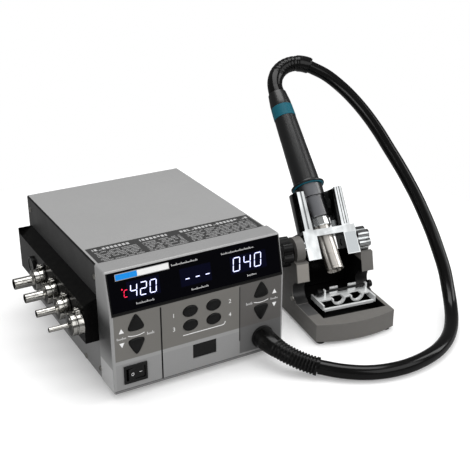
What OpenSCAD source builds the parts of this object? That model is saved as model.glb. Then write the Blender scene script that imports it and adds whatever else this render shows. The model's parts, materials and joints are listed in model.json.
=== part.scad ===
// Hot-air rework station: a bench console with a hose, a hot-air gun and a stand with a tilting cradle.
// Millimetres, +Z up. The console's front faces -Y and everything stands on z = 0.

/* [Console case] */
// Overall width of the console
case_w = 190; // [184:1:230]
// Overall depth of the console
case_d = 240; // [230:1:290]
// Height of the console's top above the bench
case_h = 133; // [126:1:150]
// Height of the console's rubber feet
foot_h = 6; // [4:0.5:10]
// Radius of a rubber foot
foot_r = 8; // [6:0.5:10]
// Distance of the feet from the case's sides and ends
foot_inset = 24; // [20:1:32]
// Thickness of the sheet metal
sheet_t = 1.2; // [0.8:0.1:1.6]
// Distance of the cover's faces inside the bezel's outline
cover_inset = 1.5; // [0.8:0.1:1.6]
// Height of the chassis tray's side flanges
flange_h = 14; // [10:1:20]

/* [Front bezel] */
// Depth of the bezel's skirt
skirt_d = 32; // [26:1:38]
// Wall thickness of the bezel
bezel_t = 2.6; // [2.2:0.1:3.2]
// Height of the crease below the display
crease_z = 91.5; // [90:0.5:94]
// How far the display leans back at its top
lean_back = 10; // [6:0.5:14]
// Thickness of the display window
window_t = 1.5; // [1:0.1:1.8]
// Frame left round the display window
window_frame = 3; // [2:0.25:4]

/* [Controls] */
// Travel of a push button
key_travel = 1; // [0.5:0.1:1.4]
// How far a button stands proud of the panel
key_proud = 1.2; // [0.8:0.1:2]
// Clearance round a button in its opening
key_gap = 0.35; // [0.2:0.05:0.5]
// Width of a temperature or air button
arrow_w = 16.5; // [12:0.5:17]
// Height of a temperature or air button
arrow_h = 17; // [14:0.5:18]
// Width of a channel button
channel_w = 16; // [12:0.5:18]
// Height of a channel button
channel_h = 12; // [9:0.5:12.5]
// Width of the power switch's frame
switch_w = 24.4; // [22:0.2:25]
// Height of the power switch's frame
switch_h = 19.4; // [17:0.2:20]
// Tilt of the rocker to each side
rocker_tilt = 8; // [4:1:9]
// Width of the blank port cover
port_w = 26; // [20:0.5:30]
// Height of the blank port cover
port_h = 15.4; // [10:0.2:16]

/* [Nozzle rack] */
// How far the rack stands out from the cover
rack_out = 15.5; // [12:0.5:20]
// Height of the rack's lower edge
rack_z = 51; // [44:1:56]
// Height of the rack's outer face
rack_h = 41; // [36:1:44]
// Rise of the rack's top towards the cover
rack_rise = 6; // [2:0.5:8]
// Distance between two nozzle seats
seat_pitch = 36.75; // [32:0.25:38]
// Radius of a nozzle seat, the same as the gun's barrel
barrel_r = 9.6; // [9:0.1:10.4]
// Length of a nozzle seat
seat_l = 3; // [2:0.5:7]
// Radius of a nozzle's clamp collar
collar_r = 11.6; // [11.6:0.1:13]
// Length of a nozzle from its mouth to its clamp
nozzle_l = 32.5; // [26:0.5:40]
// Wall of a nozzle's tube
nozzle_wall = 0.8; // [0.5:0.1:1]

/* [Hose] */
// Outer radius of the hose
hose_r = 7.5; // [6:0.25:7.9]
// Radius of the ribbed boots at the hose's ends
boot_r = 9; // [8.6:0.1:9.6]
// Height of the hose socket's centre on the front panel
socket_z = 25; // [23:0.5:26]
// Bend radius of the boot on the gun
boot_bend = 35.5; // [32:0.5:42]

/* [Stand] */
// Width of the stand
stand_w = 95; // [93:1:110]
// Depth of the stand
stand_d = 105; // [102:1:130]
// Turn of the stand, seen from above
stand_turn = 7.5; // [0:0.5:12]
// Height of the stand's feet
stand_foot_h = 3.5; // [2:0.5:6]
// Thickness of the stand's base
base_h = 20.5; // [18:0.5:26]
// How far the base's front edge bulges
base_bulge = 9; // [4:0.5:12]
// Thickness of the stand's arms
arm_t = 15; // [12:0.5:15.5]
// Radius of the left arm's hub
hub_r = 15; // [12:0.5:16]
// Height of the tilt axis
pivot_z = 81; // [80:0.5:90]
// Distance of the tilt axis from the base's front corners
pivot_y = 70; // [68:0.5:74]
// Radius of the tilt shaft's stubs
stub_r = 4; // [3:0.25:5]

/* [Gun] */
// Lean of the gun above the horizontal, at rest
gun_lean = 44.3; // [42:0.5:50]
// How much steeper the cradle stands than the gun in it
cradle_steeper = 12.5; // [8:0.5:14]
// Length of the barrel below the tilt axis
barrel_drop = 31; // [26:0.5:33]
// Radius of the handle at its lower end
handle_r = 15.3; // [14:0.1:16]
// Radius of the handle at its upper end
handle_top_r = 12.8; // [12:0.1:14]
// Length of the handle
handle_l = 88; // [80:1:110]
// Radius of the flange between handle and nose
flange_r = 19; // [17:0.5:20]

/* [Fits] */
// Running clearance of a shaft in its bore
run_gap = 0.05; // [0.02:0.01:0.08]
// Clearance between pieces that only pass or sit beside each other
side_gap = 0.3; // [0.3:0.05:0.4]

/* [Hidden] */
$fn = 64;
// The row's origin: the middle of the whole part's footprint, on the bench
origin_x = 158.4;
origin_y = 109.1;

// Case
cover_w = case_w - 2 * cover_inset;
cover_top = case_h - cover_inset;
inner_x0 = cover_inset + sheet_t;
inner_w = cover_w - 2 * sheet_t;
floor_z = foot_h + sheet_t;
rear_y = case_d - sheet_t;
// Cover screws: places on each side, and their own sizes
screw_y = [skirt_d + 6, case_d - 8];
screw_z = [foot_h + flange_h - 4, case_h - 16];
screw_r = 1.5;
screw_head_r = 2.8;
screw_head_h = 1.4;
screw_l = 6;
// Cooling slots: ten in the cover's right side, two rows of eight in the rear panel
vent_w = 4;
vent_h = 40;
vent_pitch = 12;
vent_y = 90;
vent_z = 44;
rear_slot_x = 36;
rear_slot_pitch = 9;
rear_slot_z = 62;
rear_slot_h = 20;
// Front bezel
lean_a = atan(lean_back / (case_h - crease_z));
slope_l = (case_h - crease_z) / cos(lean_a);
board_gap = 7;
board_t = 1.6;
screen_gap = 8;
post_r = 2.5;
key_flange = 1;
key_back = bezel_t + key_gap / 2;
// Digit modules: left edge and width along the display, and their span up the slope
digit_blocks = [[17, 40], [case_w / 2 - 21, 40], [case_w - 60, 42]];
digit_h = 20;
digit_z0 = slope_l / 2 - digit_h / 2 - 0.3;
digit_z1 = digit_z0 + digit_h;
screen_in = 8;
screen_x0 = screen_in;
screen_x1 = case_w - screen_in;
screen_z0 = 6;
screen_z1 = slope_l - 6;
key_board_x0 = 12;
key_board_x1 = case_w - 12;
key_board_z0 = 41;
key_board_z1 = crease_z - 3.5;
post_in = 4;
// Controls: centres across and up the front panel
temp_x = 25.5;
air_x = case_w - 26.5;
arrow_up_z = 71.5;
arrow_down_z = 62.5;
channel_x = [case_w / 2 - 12, case_w / 2 + 13.8];
channel_z = [76.5, 61];
switch_x = 22.8;
switch_z = 25.4;
switch_t = 1.5;
rocker_w = 17.8;
rocker_h = 12.6;
rocker_pin_r = 1.2;
rocker_y = 4.2;
rocker_nose = 6;
port_x = case_w / 2 + 3.3;
port_z = 29.8;
port_t = 1.4;
port_depth = 0.4;
// Grooves down the front panel
groove_in = 51.5;
groove_w = 0.8;
groove_depth = 0.6;
key_switch_y = key_back + key_flange + key_travel + 0.1;
key_spots = concat(
    [for (x = [temp_x, air_x]) each [[x, arrow_up_z + 7], [x, arrow_down_z - 7]]],
    [for (x = channel_x, z = channel_z) [x, z]]
);
// Hose socket
socket_x = case_w - 25;
socket_flange_r = 12.5;
socket_flange_t = 3;
socket_r = 9.8;
socket_bore = 6.5;
socket_l = 24;
// Rack: its plate, and the first seat behind the front end
rack_x = cover_inset - rack_out;
rack_y0 = skirt_d + 0.2;
rack_y1 = case_d - 7;
seat_z = rack_z + rack_h / 2;
seat_y0 = rack_y0 + 7.8;
seat_stud_r = 3;
seat_nut_r = 5;
seat_nut_h = 2.4;
nozzle_bore = [10, 8, 6, 3.2];
clamp_slit = 1.6;
clamp_depth = 7.6;
clamp_screw_r = 0.9;
clamp_x = collar_r + 1.3;
// Stand, in its own frame: x along its front edge, y to its back
stand_x = case_w + 38;
stand_y = -8;
base_z = stand_foot_h;
base_top = base_z + base_h;
base_arc_r = (pow(stand_w / 2, 2) + pow(base_bulge, 2)) / (2 * base_bulge);
arm_front_y = 48;
arm_front_z0 = base_top + 27;
bite_r = 12.5;
arm_front_z1 = pivot_z - 8.6;
arm_lean = 5;
tray_x0 = 14;
tray_x1 = stand_w - 4;
tray_y0 = 11;
tray_y1 = 50;
tray_back = 62;
tray_floor = base_top - 14.5;
under_h = 12;
plate_t = 2;
under_in = 6;
stand_foot_r = 5;
stand_foot_in = 7.5;
bearing_r = 14.5;
washer_r = 12.3;
knob_r = 17;
knob_h = 11;
knob_boss_r = 8;
knob_boss_h = 4;
bolt_r = 1.5;
bolt_head_r = 3;
bolt_l = 8;
bolt_y = arm_front_y + 11;
bolt_z = base_top + 4;
shield_y = pivot_y + 16;
shield_t = 5;
shield_top = pivot_z - 18;
// Tip rack
rack_front = 28;
deck_z = base_top + 5;
deck_t = 2;
deck_y0 = 40;
deck_y1 = 53;
plate_x = [22, 86];
cup_r = 8.5;
cup_x = [47, 70];
rod_r = 1.5;
rod_y = 50;
rod_z = deck_z + 4.5;
rod_x0 = 30;
rod_knob_r = 4.2;
hub_x0 = 2.5;
hub_t = 10;
stub_over = 6;
// Cradle and gun, in the frame of the tilt axis: z along the gun, -y to the gun's front
gun_x = -1.5;
block_x0 = 16.5;
block_x1 = stand_w / 2 - arm_t - 0.5;
cradle_front = -11;
block_back = 11;
block_low = -15.5;
web_low = 10;
web_high = 17.5;
web_back = 17;
horn_r = 30;
horn_in_r = 21;
horn_top = 62;
horn_back = 13;
horn_slot = 17;
nut_r = 11.6;
nut_low = (web_high + side_gap + nut_r * sin(cradle_steeper)) / cos(cradle_steeper);
nut_high = 31;
nose_high = 71;
nose_low_r = 13.6;
nose_top_r = 16.3;
flange_t = 4;
handle_low = nose_high + flange_t;
band_low = handle_low + handle_l;
band_l = 15;
collar_l = 19.5;
boot_low = band_low + band_l + collar_l;
boot_lead = 3.5;
boot_turn = 122;
boot_start_r = 10.5;
boot_steps = 10;
// Barrel: its bore, the end that a nozzle goes on, and the slightly thicker shank behind that
barrel_bore = barrel_r - nozzle_wall;
barrel_end_l = 18;
shank_r = barrel_r + 0.25;
press_gap = 0.02;
barrel_top = nut_high + 25;
core_r = 7.4;
// Parts inside: corners or centres on the chassis floor
sink_w = 34;
sink_d = 50;
sink_base = 5;
fins = 7;
fin_t = 2;
fin_h = 20;
blower_r = 30;
blower_x = case_w - blower_r - 12;
blower_y = 112;
blower_h = 32;
blower_wall = 2.5;
rotor_r = 24;
rotor_h = 14;
rotor_z = floor_z + 9;
shaft_r = 1.5;
duct_y = 76;
board_x = 14;
board_y = 44;
board_w = blower_x - blower_r - board_x - 12;
standoff_h = 8;
standoff_r = 3;
sink_x = board_x + board_w - sink_w - 8;
sink_y = board_y + 30;
// Transformer: its core, the winding that stands out of it, and its mounting plate
transformer_w = 62;
transformer_h = 50;
core_d = 28;
winding_w = 38;
winding_d = 48;
winding_h = 34;
strap_w = 74;
strap_d = 12;
strap_t = 2;
transformer_x = board_x + 8;
transformer_y = case_d - 72;
board_d = transformer_y - board_y - 12;
// Capacitors, choke and relay on the main board
cap_r = 8;
cap_h = 22;
choke_w = 22;
relay_w = 16;
relay_h = 14;
inlet_x = case_w - 40;
inlet_z = 42;
inlet_w = 27.2;
inlet_h = 19.8;
inlet_d = 24;

// Centre line of the hose, from the console's boot to the gun's boot, in the console's frame
// The hose's course over the bench and up to the gun, with x counted from the console's right side
hose_course = [
    [6, -59, 10.5], [23, -75, 9], [43, -88, 8], [64, -96, 8], [87, -99, 8], [110, -97, 8],
    [133, -91, 8], [155, -80, 8], [174, -66, 8.5], [190, -50, 11], [203, -33, 17],
    [212, -17, 28.5], [219, -1, 43.5], [223, 16, 60], [225, 32, 77], [226, 49, 94],
    [226, 65, 110], [225, 82, 126], [223, 99, 142], [220, 116, 158], [217, 133, 174],
    [212, 150, 190], [205, 166, 205], [196, 182, 219], [183, 197.5, 232.5], [166.8, 210, 242.2]
];
hose_route = [for (p = hose_course) [case_w + p[0], p[1], p[2]]];
// The point of the route where the lower length of hose meets the upper one
hose_split = 17;
hose_sides = 10;
hose_steps = 3;
// Centre line of the console's boot
boot_route = [
    [socket_x, -socket_flange_t, socket_z], [socket_x + 0.8, -14, socket_z - 0.8],
    [socket_x + 4, -26, socket_z - 3], [socket_x + 10, -37.5, socket_z - 6.4],
    [socket_x + 19.5, -48.5, socket_z - 10.8], hose_route[0]
];
boot_radii = [12, 11.2, 10.3, 9.7, 9.4, 9.2];

// ---- Frames ----

module console() translate([-origin_x, -origin_y, 0]) children();

module stand() console() translate([stand_x, stand_y, 0]) rotate([0, 0, -stand_turn]) children();

module tilt() stand() translate([stand_w / 2, pivot_y, pivot_z]) rotate([gun_lean - 90, 0, 0]) children();

module gun() tilt() translate([gun_x, 0, 0]) children();

module upright() tilt() rotate([cradle_steeper, 0, 0]) children();

// The display's face: z up the slope, y into the case
module slope() translate([0, 0, crease_z]) rotate([-lean_a, 0, 0]) children();

// A flat outline drawn across the front panel, from y0 to y1
module on_panel(y0, y1) translate([0, y1, 0]) rotate([90, 0, 0]) linear_extrude(y1 - y0) children();

// A side view outline (y, z), extruded along x
module across(x0, x1) translate([x0, 0, 0]) rotate([90, 0, 90]) linear_extrude(x1 - x0) children();

module along_x(r, x0, x1, y = 0, z = 0) translate([x0, y, z]) rotate([0, 90, 0]) cylinder(r = r, h = x1 - x0);

module along_y(r, y0, y1, x = 0, z = 0) translate([x, y0, z]) rotate([-90, 0, 0]) cylinder(r = r, h = y1 - y0);

module block(low, high) translate(low) cube(high - low);

// ---- Outlines ----

function arc(c, r, a0, a1, n = 8) = [for (i = [0:n]) c + r * [cos(a0 + (a1 - a0) * i / n), sin(a0 + (a1 - a0) * i / n)]];

// Rounded triangle with its base on the x axis and its tip up
function arrow(w, h, r, grow = 0) = let (
    side = atan2(h - 2 * r, r - w / 2) - 90
) concat(
    arc([w / 2 - r, r], r + grow, -90, side),
    arc([0, h - r], r + grow, side, 180 - side),
    arc([r - w / 2, r], r + grow, 180 - side, 270)
);

function oval(w, h, n = 40) = [for (i = [0:n - 1]) [w / 2 * cos(i * 360 / n), h / 2 * sin(i * 360 / n)]];

function mix(a, b, t) = a + (b - a) * t;

// ---- Case ----

module chassis_tray() color("gainsboro") console() difference() {
    union() {
        block([inner_x0, skirt_d, foot_h], [inner_x0 + inner_w, rear_y, floor_z]);
        for (x = [inner_x0, inner_x0 + inner_w - sheet_t])
            block([x, skirt_d, floor_z], [x + sheet_t, rear_y, floor_z + flange_h]);
    }
    for (y = screw_y)
        along_x(screw_r + run_gap, 0, case_w, y, screw_z[0]);
}

module rear_panel() color("dimgray") console() difference() {
    block([inner_x0, rear_y, foot_h], [inner_x0 + inner_w, case_d, cover_top - sheet_t]);
    block([inlet_x - inlet_w / 2, rear_y - 1, inlet_z - inlet_h / 2],
          [inlet_x + inlet_w / 2, case_d + 1, inlet_z + inlet_h / 2]);
    for (i = [0:7], k = [0:1])
        translate([rear_slot_x + i * rear_slot_pitch, rear_y - 1, rear_slot_z + k * (rear_slot_h + 6)])
            cube([vent_w, sheet_t + 2, rear_slot_h]);
}

module case_cover() color("darkgray") console() difference() {
    block([cover_inset, skirt_d, foot_h], [cover_inset + cover_w, case_d, cover_top]);
    block([inner_x0, skirt_d - 1, foot_h - 1], [inner_x0 + inner_w, case_d + 1, cover_top - sheet_t]);
    for (i = [0:9])
        translate([case_w / 2, vent_y + i * vent_pitch, vent_z]) cube([case_w / 2, vent_w, vent_h]);
    for (y = screw_y, z = screw_z)
        along_x(screw_r + run_gap, -1, case_w + 1, y, z);
}

module case_screws() color("silver") console() for (y = screw_y, z = screw_z) {
    along_x(screw_r, cover_inset - 0.1, cover_inset + screw_l, y, z);
    along_x(screw_head_r, cover_inset - screw_head_h, cover_inset, y, z);
    along_x(screw_r, case_w - cover_inset - screw_l, case_w - cover_inset + 0.1, y, z);
    along_x(screw_head_r, case_w - cover_inset, case_w - cover_inset + screw_head_h, y, z);
}

module case_feet() color("black") console()
    for (x = [foot_inset, case_w - foot_inset], y = [foot_inset, case_d - foot_inset])
        translate([x, y, 0]) cylinder(r = foot_r, h = foot_h);

// ---- Front bezel and display ----

module front_bezel() color("gray") console() difference() {
    union() {
        bezel_shell();
        bezel_posts();
    }
    slope() {
        block([window_frame, -1, window_frame - 1],
              [case_w - window_frame, window_t, slope_l - window_frame + 1]);
        for (d = digit_blocks)
            block([d[0] - 1, 0, digit_z0 - 1], [d[0] + d[1] + 1, bezel_t + 1, digit_z1 + 1]);
    }
    on_panel(-1, bezel_t + 1) panel_openings();
    on_panel(-1, port_t + port_depth) translate([port_x, port_z])
        square([port_w + 0.4, port_h + 0.4], center = true);
    along_y(socket_r + side_gap, -1, bezel_t + 1, socket_x, socket_z);
    panel_groove(groove_in, foot_h + 4, crease_z - 3);
    panel_groove(case_w - groove_in, socket_z + 2, crease_z - 3);
}

module bezel_shell() {
    slope_in = bezel_t / cos(lean_a);
    difference() {
        across(0, case_w) polygon([
            [0, foot_h], [skirt_d, foot_h], [skirt_d, case_h], [lean_back, case_h], [0, crease_z]
        ]);
        across(bezel_t, case_w - bezel_t) polygon([
            [bezel_t, foot_h + bezel_t], [skirt_d + 1, foot_h + bezel_t],
            [skirt_d + 1, case_h - bezel_t],
            [lean_back - bezel_t * tan(lean_a) + slope_in, case_h - bezel_t],
            [bezel_t, crease_z - (slope_in - bezel_t) / tan(lean_a)]
        ]);
    }
}

// Posts that carry the two circuit boards behind the front
module bezel_posts() {
    for (x = [key_board_x0 + post_in, key_board_x1 - post_in], z = [key_board_z0 + post_in, key_board_z1 - post_in])
        along_y(post_r, bezel_t - 0.1, bezel_t + board_gap, x, z);
    slope() for (x = [screen_x0 + post_in, screen_x1 - post_in], z = [screen_z0 + post_in, screen_z1 - post_in])
        along_y(post_r, bezel_t - 0.1, bezel_t + screen_gap, x, z);
}

module panel_openings() {
    for (x = [temp_x, air_x]) {
        translate([x, arrow_up_z]) polygon(arrow(arrow_w, arrow_h, 4, key_gap));
        translate([x, arrow_down_z]) mirror([0, 1]) polygon(arrow(arrow_w, arrow_h, 4, key_gap));
    }
    for (x = channel_x, z = channel_z)
        translate([x, z]) polygon(oval(channel_w + 2 * key_gap, channel_h + 2 * key_gap));
    translate([switch_x, switch_z])
        square([switch_w - 2 * switch_t + 0.2, switch_h - 2 * switch_t + 0.2], center = true);
}

module panel_groove(x, z0, z1) block([x - groove_w / 2, -1, z0], [x + groove_w / 2, groove_depth, z1]);

module display_window() color("black") console() slope()
    block([window_frame + 0.1, 0, window_frame - 0.9],
          [case_w - window_frame - 0.1, window_t, slope_l - window_frame + 0.9]);

module display_board() color("darkgreen") console() slope()
    block([screen_x0, bezel_t + screen_gap, screen_z0], [screen_x1, bezel_t + screen_gap + board_t, screen_z1]);

module digit_modules() color("dimgray") console() slope() for (d = digit_blocks)
    block([d[0], window_t + side_gap, digit_z0], [d[0] + d[1], bezel_t + screen_gap, digit_z1]);

module key_board() color("darkgreen") console() {
    block([key_board_x0, bezel_t + board_gap, key_board_z0],
          [key_board_x1, bezel_t + board_gap + board_t, key_board_z1]);
    for (p = key_spots) {
        block([p[0] - 3, key_switch_y + 1, p[1] - 3], [p[0] + 3, bezel_t + board_gap, p[1] + 3]);
        along_y(1.7, key_switch_y, key_switch_y + 1.1, p[0], p[1]);
    }
}

// ---- Buttons ----

module arrow_button(x, z, down = 0) color("black") console() translate([x, 0, z]) mirror([0, 0, down]) {
    on_panel(-key_proud, key_back) polygon(arrow(arrow_w, arrow_h, 4));
    on_panel(key_back, key_back + key_flange) polygon(arrow(arrow_w, arrow_h, 4, 1.4));
}

module oval_button(x, z) color("black") console() translate([x, 0, z]) {
    on_panel(-key_proud, key_back) polygon(oval(channel_w, channel_h));
    on_panel(key_back, key_back + key_flange) polygon(oval(channel_w + 2.6, channel_h + 2.6));
}

module temp_up_button() arrow_button(temp_x, arrow_up_z);
module temp_down_button() arrow_button(temp_x, arrow_down_z, 1);
module air_up_button() arrow_button(air_x, arrow_up_z);
module air_down_button() arrow_button(air_x, arrow_down_z, 1);
module channel_1_button() oval_button(channel_x[0], channel_z[0]);
module channel_2_button() oval_button(channel_x[1], channel_z[0]);
module channel_3_button() oval_button(channel_x[0], channel_z[1]);
module channel_4_button() oval_button(channel_x[1], channel_z[1]);

// ---- Power switch, port cover ----

module switch_frame() color("black") console() translate([switch_x, 0, switch_z]) difference() {
    union() {
        on_panel(-switch_t, 0) square([switch_w, switch_h], center = true);
        on_panel(-0.1, 18) square([switch_w - 2 * switch_t, switch_h - 2 * switch_t], center = true);
    }
    on_panel(-switch_t - 1, rocker_y + rocker_nose)
        square([rocker_w + 2, rocker_h + 2 * run_gap + 0.4], center = true);
    translate([0, rocker_y, -switch_h / 2 + switch_t + 0.8])
        cylinder(r = rocker_pin_r + run_gap, h = switch_h - 2 * switch_t - 1.6);
}

module switch_rocker() color("black") console()
    translate([switch_x, rocker_y, switch_z]) rotate([0, 0, rocker_tilt]) {
        translate([0, 0, -rocker_h / 2]) linear_extrude(rocker_h) polygon(concat(
            [[rocker_w / 2, -rocker_nose], [rocker_w / 2, -2]],
            arc([0, -1], 3.4, 0, 180, 16),
            [[-rocker_w / 2, -2], [-rocker_w / 2, -rocker_nose], [0, 1 - rocker_nose]]
        ));
        translate([0, 0, -rocker_h / 2 - 0.9]) cylinder(r = rocker_pin_r, h = rocker_h + 1.8);
    }

module port_cover() color("black") console()
    on_panel(port_depth, port_t + port_depth) translate([port_x, port_z])
        square([port_w, port_h], center = true);

// ---- Hose socket, boots and hose ----

module hose_socket() color("black") console() difference() {
    union() {
        along_y(socket_flange_r, -socket_flange_t, 0, socket_x, socket_z);
        along_y(socket_r, -1, socket_l, socket_x, socket_z);
    }
    along_y(socket_bore, -socket_flange_t - 1, socket_l + 1, socket_x, socket_z);
}

// One point of a smooth curve through p[i] and p[i + 1]
function between(p, i, t) = let (
    a = p[max(i - 1, 0)], b = p[i], c = p[i + 1], d = p[min(i + 2, len(p) - 1)]
) 0.5 * (2 * b + (c - a) * t + (2 * a - 5 * b + 4 * c - d) * t * t + (3 * b - a - 3 * c + d) * t * t * t);

function smooth_line(p, n) = concat(
    [for (i = [0:len(p) - 2], k = [0:n - 1]) between(p, i, k / n)], [p[len(p) - 1]]
);

function unit(v) = v / norm(v);

function ring(c, dir, r, n, up0) = let (
    side = unit(cross(up0, dir)), up = cross(dir, side)
) [for (k = [0:n - 1]) c + r * (cos(k * 360 / n) * side + sin(k * 360 / n) * up)];

// A round tube along the line p; r holds a radius for each point, and up0 is never along the line
module swept(p, r, n, ends = undef, up0 = [0, 0, 1]) {
    last = len(p) - 1;
    first_dir = is_undef(ends) ? p[1] - p[0] : ends[0];
    last_dir = is_undef(ends) ? p[last] - p[last - 1] : ends[1];
    points = [for (i = [0:last]) each ring(p[i], unit(i == 0 ? first_dir
        : i == last ? last_dir : p[i + 1] - p[i - 1]), r[i], n, up0)];
    sides = [for (i = [0:last - 1], k = [0:n - 1]) let (m = (k + 1) % n)
        [i * n + k, i * n + m, (i + 1) * n + m, (i + 1) * n + k]];
    polyhedron(points, concat(
        [[for (k = [0:n - 1]) k]], [for (q = sides) [q[3], q[2], q[1], q[0]]],
        [[for (k = [n - 1:-1:0]) last * n + k]]
    ));
}

function route_radii(r, count, n) = [for (i = [0:count - 1]) let (
    k = min(floor(i / n), len(r) - 2)
) mix(r[k], r[k + 1], i / n - k)];

module console_boot() color("black") console() {
    line = smooth_line(boot_route, 2);
    hose_start = smooth_line(hose_route, hose_steps);
    swept(line, route_radii(boot_radii, len(line), 2), 20, [[0, -1, 0], hose_start[1] - hose_start[0]]);
}

// The stretch of the hose between two points of its route
module hose_piece(from, to) {
    whole = smooth_line(hose_route, hose_steps);
    i0 = from * hose_steps;
    i1 = to * hose_steps;
    line = [for (i = [i0:i1]) whole[i]];
    start = whole[i0 + 1] - whole[max(i0 - 1, 0)];
    end = whole[min(i1 + 1, len(whole) - 1)] - whole[i1 - 1];
    swept(line, [for (i = line) hose_r], hose_sides, [start, end]);
}

module hose_lower() color("black") console() hose_piece(0, hose_split);
module hose_upper() color("black") console() hose_piece(hose_split, len(hose_route) - 1);

// ---- Nozzle rack ----

module nozzle_rack() color("dimgray") console() difference() {
    union() {
        translate([0, rack_y1, 0]) rotate([90, 0, 0]) linear_extrude(rack_y1 - rack_y0) difference() {
            rack_section(0);
            rack_section(sheet_t);
        }
        rack_end(rack_y0) rack_section(0);
        rack_end(rack_y1 - sheet_t) polygon([
            [cover_inset, rack_z], [rack_x, rack_z], [rack_x, rack_z + rack_h + rack_rise],
            [cover_inset, rack_z + rack_h + rack_rise]
        ]);
    }
    for (i = [0:4])
        along_x(seat_stud_r + run_gap, rack_x - 1, rack_x + sheet_t + 1, seat_y(i), seat_z);
}

module rack_section(inset) {
    polygon([
        [cover_inset + (inset > 0 ? 1 : 0), rack_z + inset], [rack_x + inset, rack_z + inset],
        [rack_x + inset, rack_z + rack_h - inset],
        [cover_inset + (inset > 0 ? 1 : 0), rack_z + rack_h + rack_rise - inset]
    ]);
}

module rack_end(y) translate([0, y + sheet_t, 0]) rotate([90, 0, 0]) linear_extrude(sheet_t) children();

function seat_y(i) = seat_y0 + i * seat_pitch;

module nozzle_seats() color("gray") console() for (i = [0:4]) {
    along_x(barrel_r, rack_x - seat_l, rack_x, seat_y(i), seat_z);
    along_x(seat_stud_r, rack_x - 0.1, rack_x + sheet_t + seat_nut_h, seat_y(i), seat_z);
    along_x(seat_nut_r, rack_x + sheet_t, rack_x + sheet_t + seat_nut_h, seat_y(i), seat_z);
}

// A nozzle on seat i, counted from the front, with an outlet of the given bore
module nozzle(i, bore) color("silver") console()
    translate([rack_x - side_gap, seat_y(i), seat_z]) rotate([0, -90, 0]) {
        tube_r = bore / 2 + nozzle_wall;
        difference() {
            union() {
                cylinder(r = collar_r, h = 6.2);
                cylinder(r = collar_r - 1, h = 7.4);
                translate([0, 0, 7.3]) cylinder(r = collar_r - 0.6, h = 4.6);
                translate([0, 0, 11.8]) cylinder(r1 = collar_r - 2, r2 = tube_r, h = 1.4);
                cylinder(r = tube_r, h = nozzle_l);
                block([collar_r - 2, -clamp_slit / 2 - 2.4, 1], [collar_r + 3.2, clamp_slit / 2 + 2.4, 6]);
            }
            translate([0, 0, -1]) cylinder(r = barrel_r + run_gap, h = clamp_depth + 1);
            translate([0, 0, -1]) cylinder(r = bore / 2, h = nozzle_l + 2);
            block([barrel_r - 2, -clamp_slit / 2, -1], [collar_r + 4, clamp_slit / 2, 7.3]);
            translate([clamp_x, 5, 3.5]) rotate([90, 0, 0]) cylinder(r = clamp_screw_r + run_gap, h = 10);
        }
        translate([clamp_x, 4.4, 3.5]) rotate([90, 0, 0]) cylinder(r = clamp_screw_r, h = 7.6);
        translate([clamp_x, 5.4, 3.5]) rotate([90, 0, 0]) cylinder(r = 1.9, h = 2.2);
    }

module nozzle_10mm() nozzle(3, nozzle_bore[0]);
module nozzle_8mm() nozzle(2, nozzle_bore[1]);
module nozzle_6mm() nozzle(1, nozzle_bore[2]);
module nozzle_3mm() nozzle(0, nozzle_bore[3]);

// ---- Inside the console ----

module board_standoffs() color("silver") console()
    for (x = [board_x + 5, board_x + board_w - 5], y = [board_y + 5, board_y + board_d - 5])
        translate([x, y, floor_z]) cylinder(r = standoff_r, h = standoff_h);

module main_board() color("darkgreen") console() {
    z = floor_z + standoff_h;
    block([board_x, board_y, z], [board_x + board_w, board_y + board_d, z + board_t]);
    top = z + board_t - 0.1;
    for (x = [board_x + cap_r + 4, board_x + 3 * cap_r + 8])
        translate([x, board_y + board_d - 20, top]) cylinder(r = cap_r, h = cap_h);
    translate([board_x + 8, board_y + 20, top]) cube([choke_w, choke_w, board_t * 2]);
    translate([board_x + 10, board_y + 30 + choke_w, top]) cube([relay_w, relay_w, relay_h]);
}

module heat_sink() color("silver") console() translate([sink_x, sink_y, floor_z + standoff_h + board_t]) {
    cube([sink_w, sink_d, sink_base]);
    for (i = [0:fins - 1])
        translate([i * (sink_w - fin_t) / (fins - 1), 0, sink_base - 0.1]) cube([fin_t, sink_d, fin_h]);
}

module transformer() color("goldenrod") console() translate([transformer_x, transformer_y, floor_z]) {
    middle = [transformer_w / 2, winding_d / 2 + 2];
    translate([middle[0], middle[1]]) {
        block([-transformer_w / 2, -core_d / 2, 0], [transformer_w / 2, core_d / 2, transformer_h]);
        block([-winding_w / 2, -winding_d / 2, (transformer_h - winding_h) / 2],
              [winding_w / 2, winding_d / 2, (transformer_h + winding_h) / 2]);
        block([-strap_w / 2, -strap_d / 2, 0], [strap_w / 2, strap_d / 2, strap_t]);
    }
}

module blower_housing() color("black") console() difference() {
    union() {
        translate([blower_x, blower_y, floor_z]) cylinder(r = blower_r, h = blower_h);
        block([socket_x - 12, duct_y, floor_z], [socket_x + 12, blower_y, floor_z + blower_h]);
    }
    translate([blower_x, blower_y, floor_z + blower_wall])
        cylinder(r = blower_r - blower_wall, h = blower_h - 2 * blower_wall);
    along_y(socket_bore, duct_y - 1, blower_y, socket_x, socket_z);
    translate([blower_x, blower_y, floor_z + blower_h - blower_wall - 1])
        cylinder(r = shaft_r + 0.5, h = blower_wall + 2);
    for (a = [0:45:315])
        translate([blower_x + 20 * cos(a), blower_y + 20 * sin(a), floor_z + blower_h - blower_wall - 1])
            cylinder(r = 3.5, h = blower_wall + 2);
}

module blower_rotor() color("white") console() translate([blower_x, blower_y, rotor_z]) difference() {
    union() {
        cylinder(r = rotor_r, h = 1.5);
        cylinder(r = 5, h = rotor_h);
        for (a = [0:36:324])
            rotate(a) block([4, -0.6, 1.4], [rotor_r - 0.5, 0.6, rotor_h]);
    }
    translate([0, 0, -1]) cylinder(r = shaft_r + run_gap, h = rotor_h + 2);
}

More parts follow.
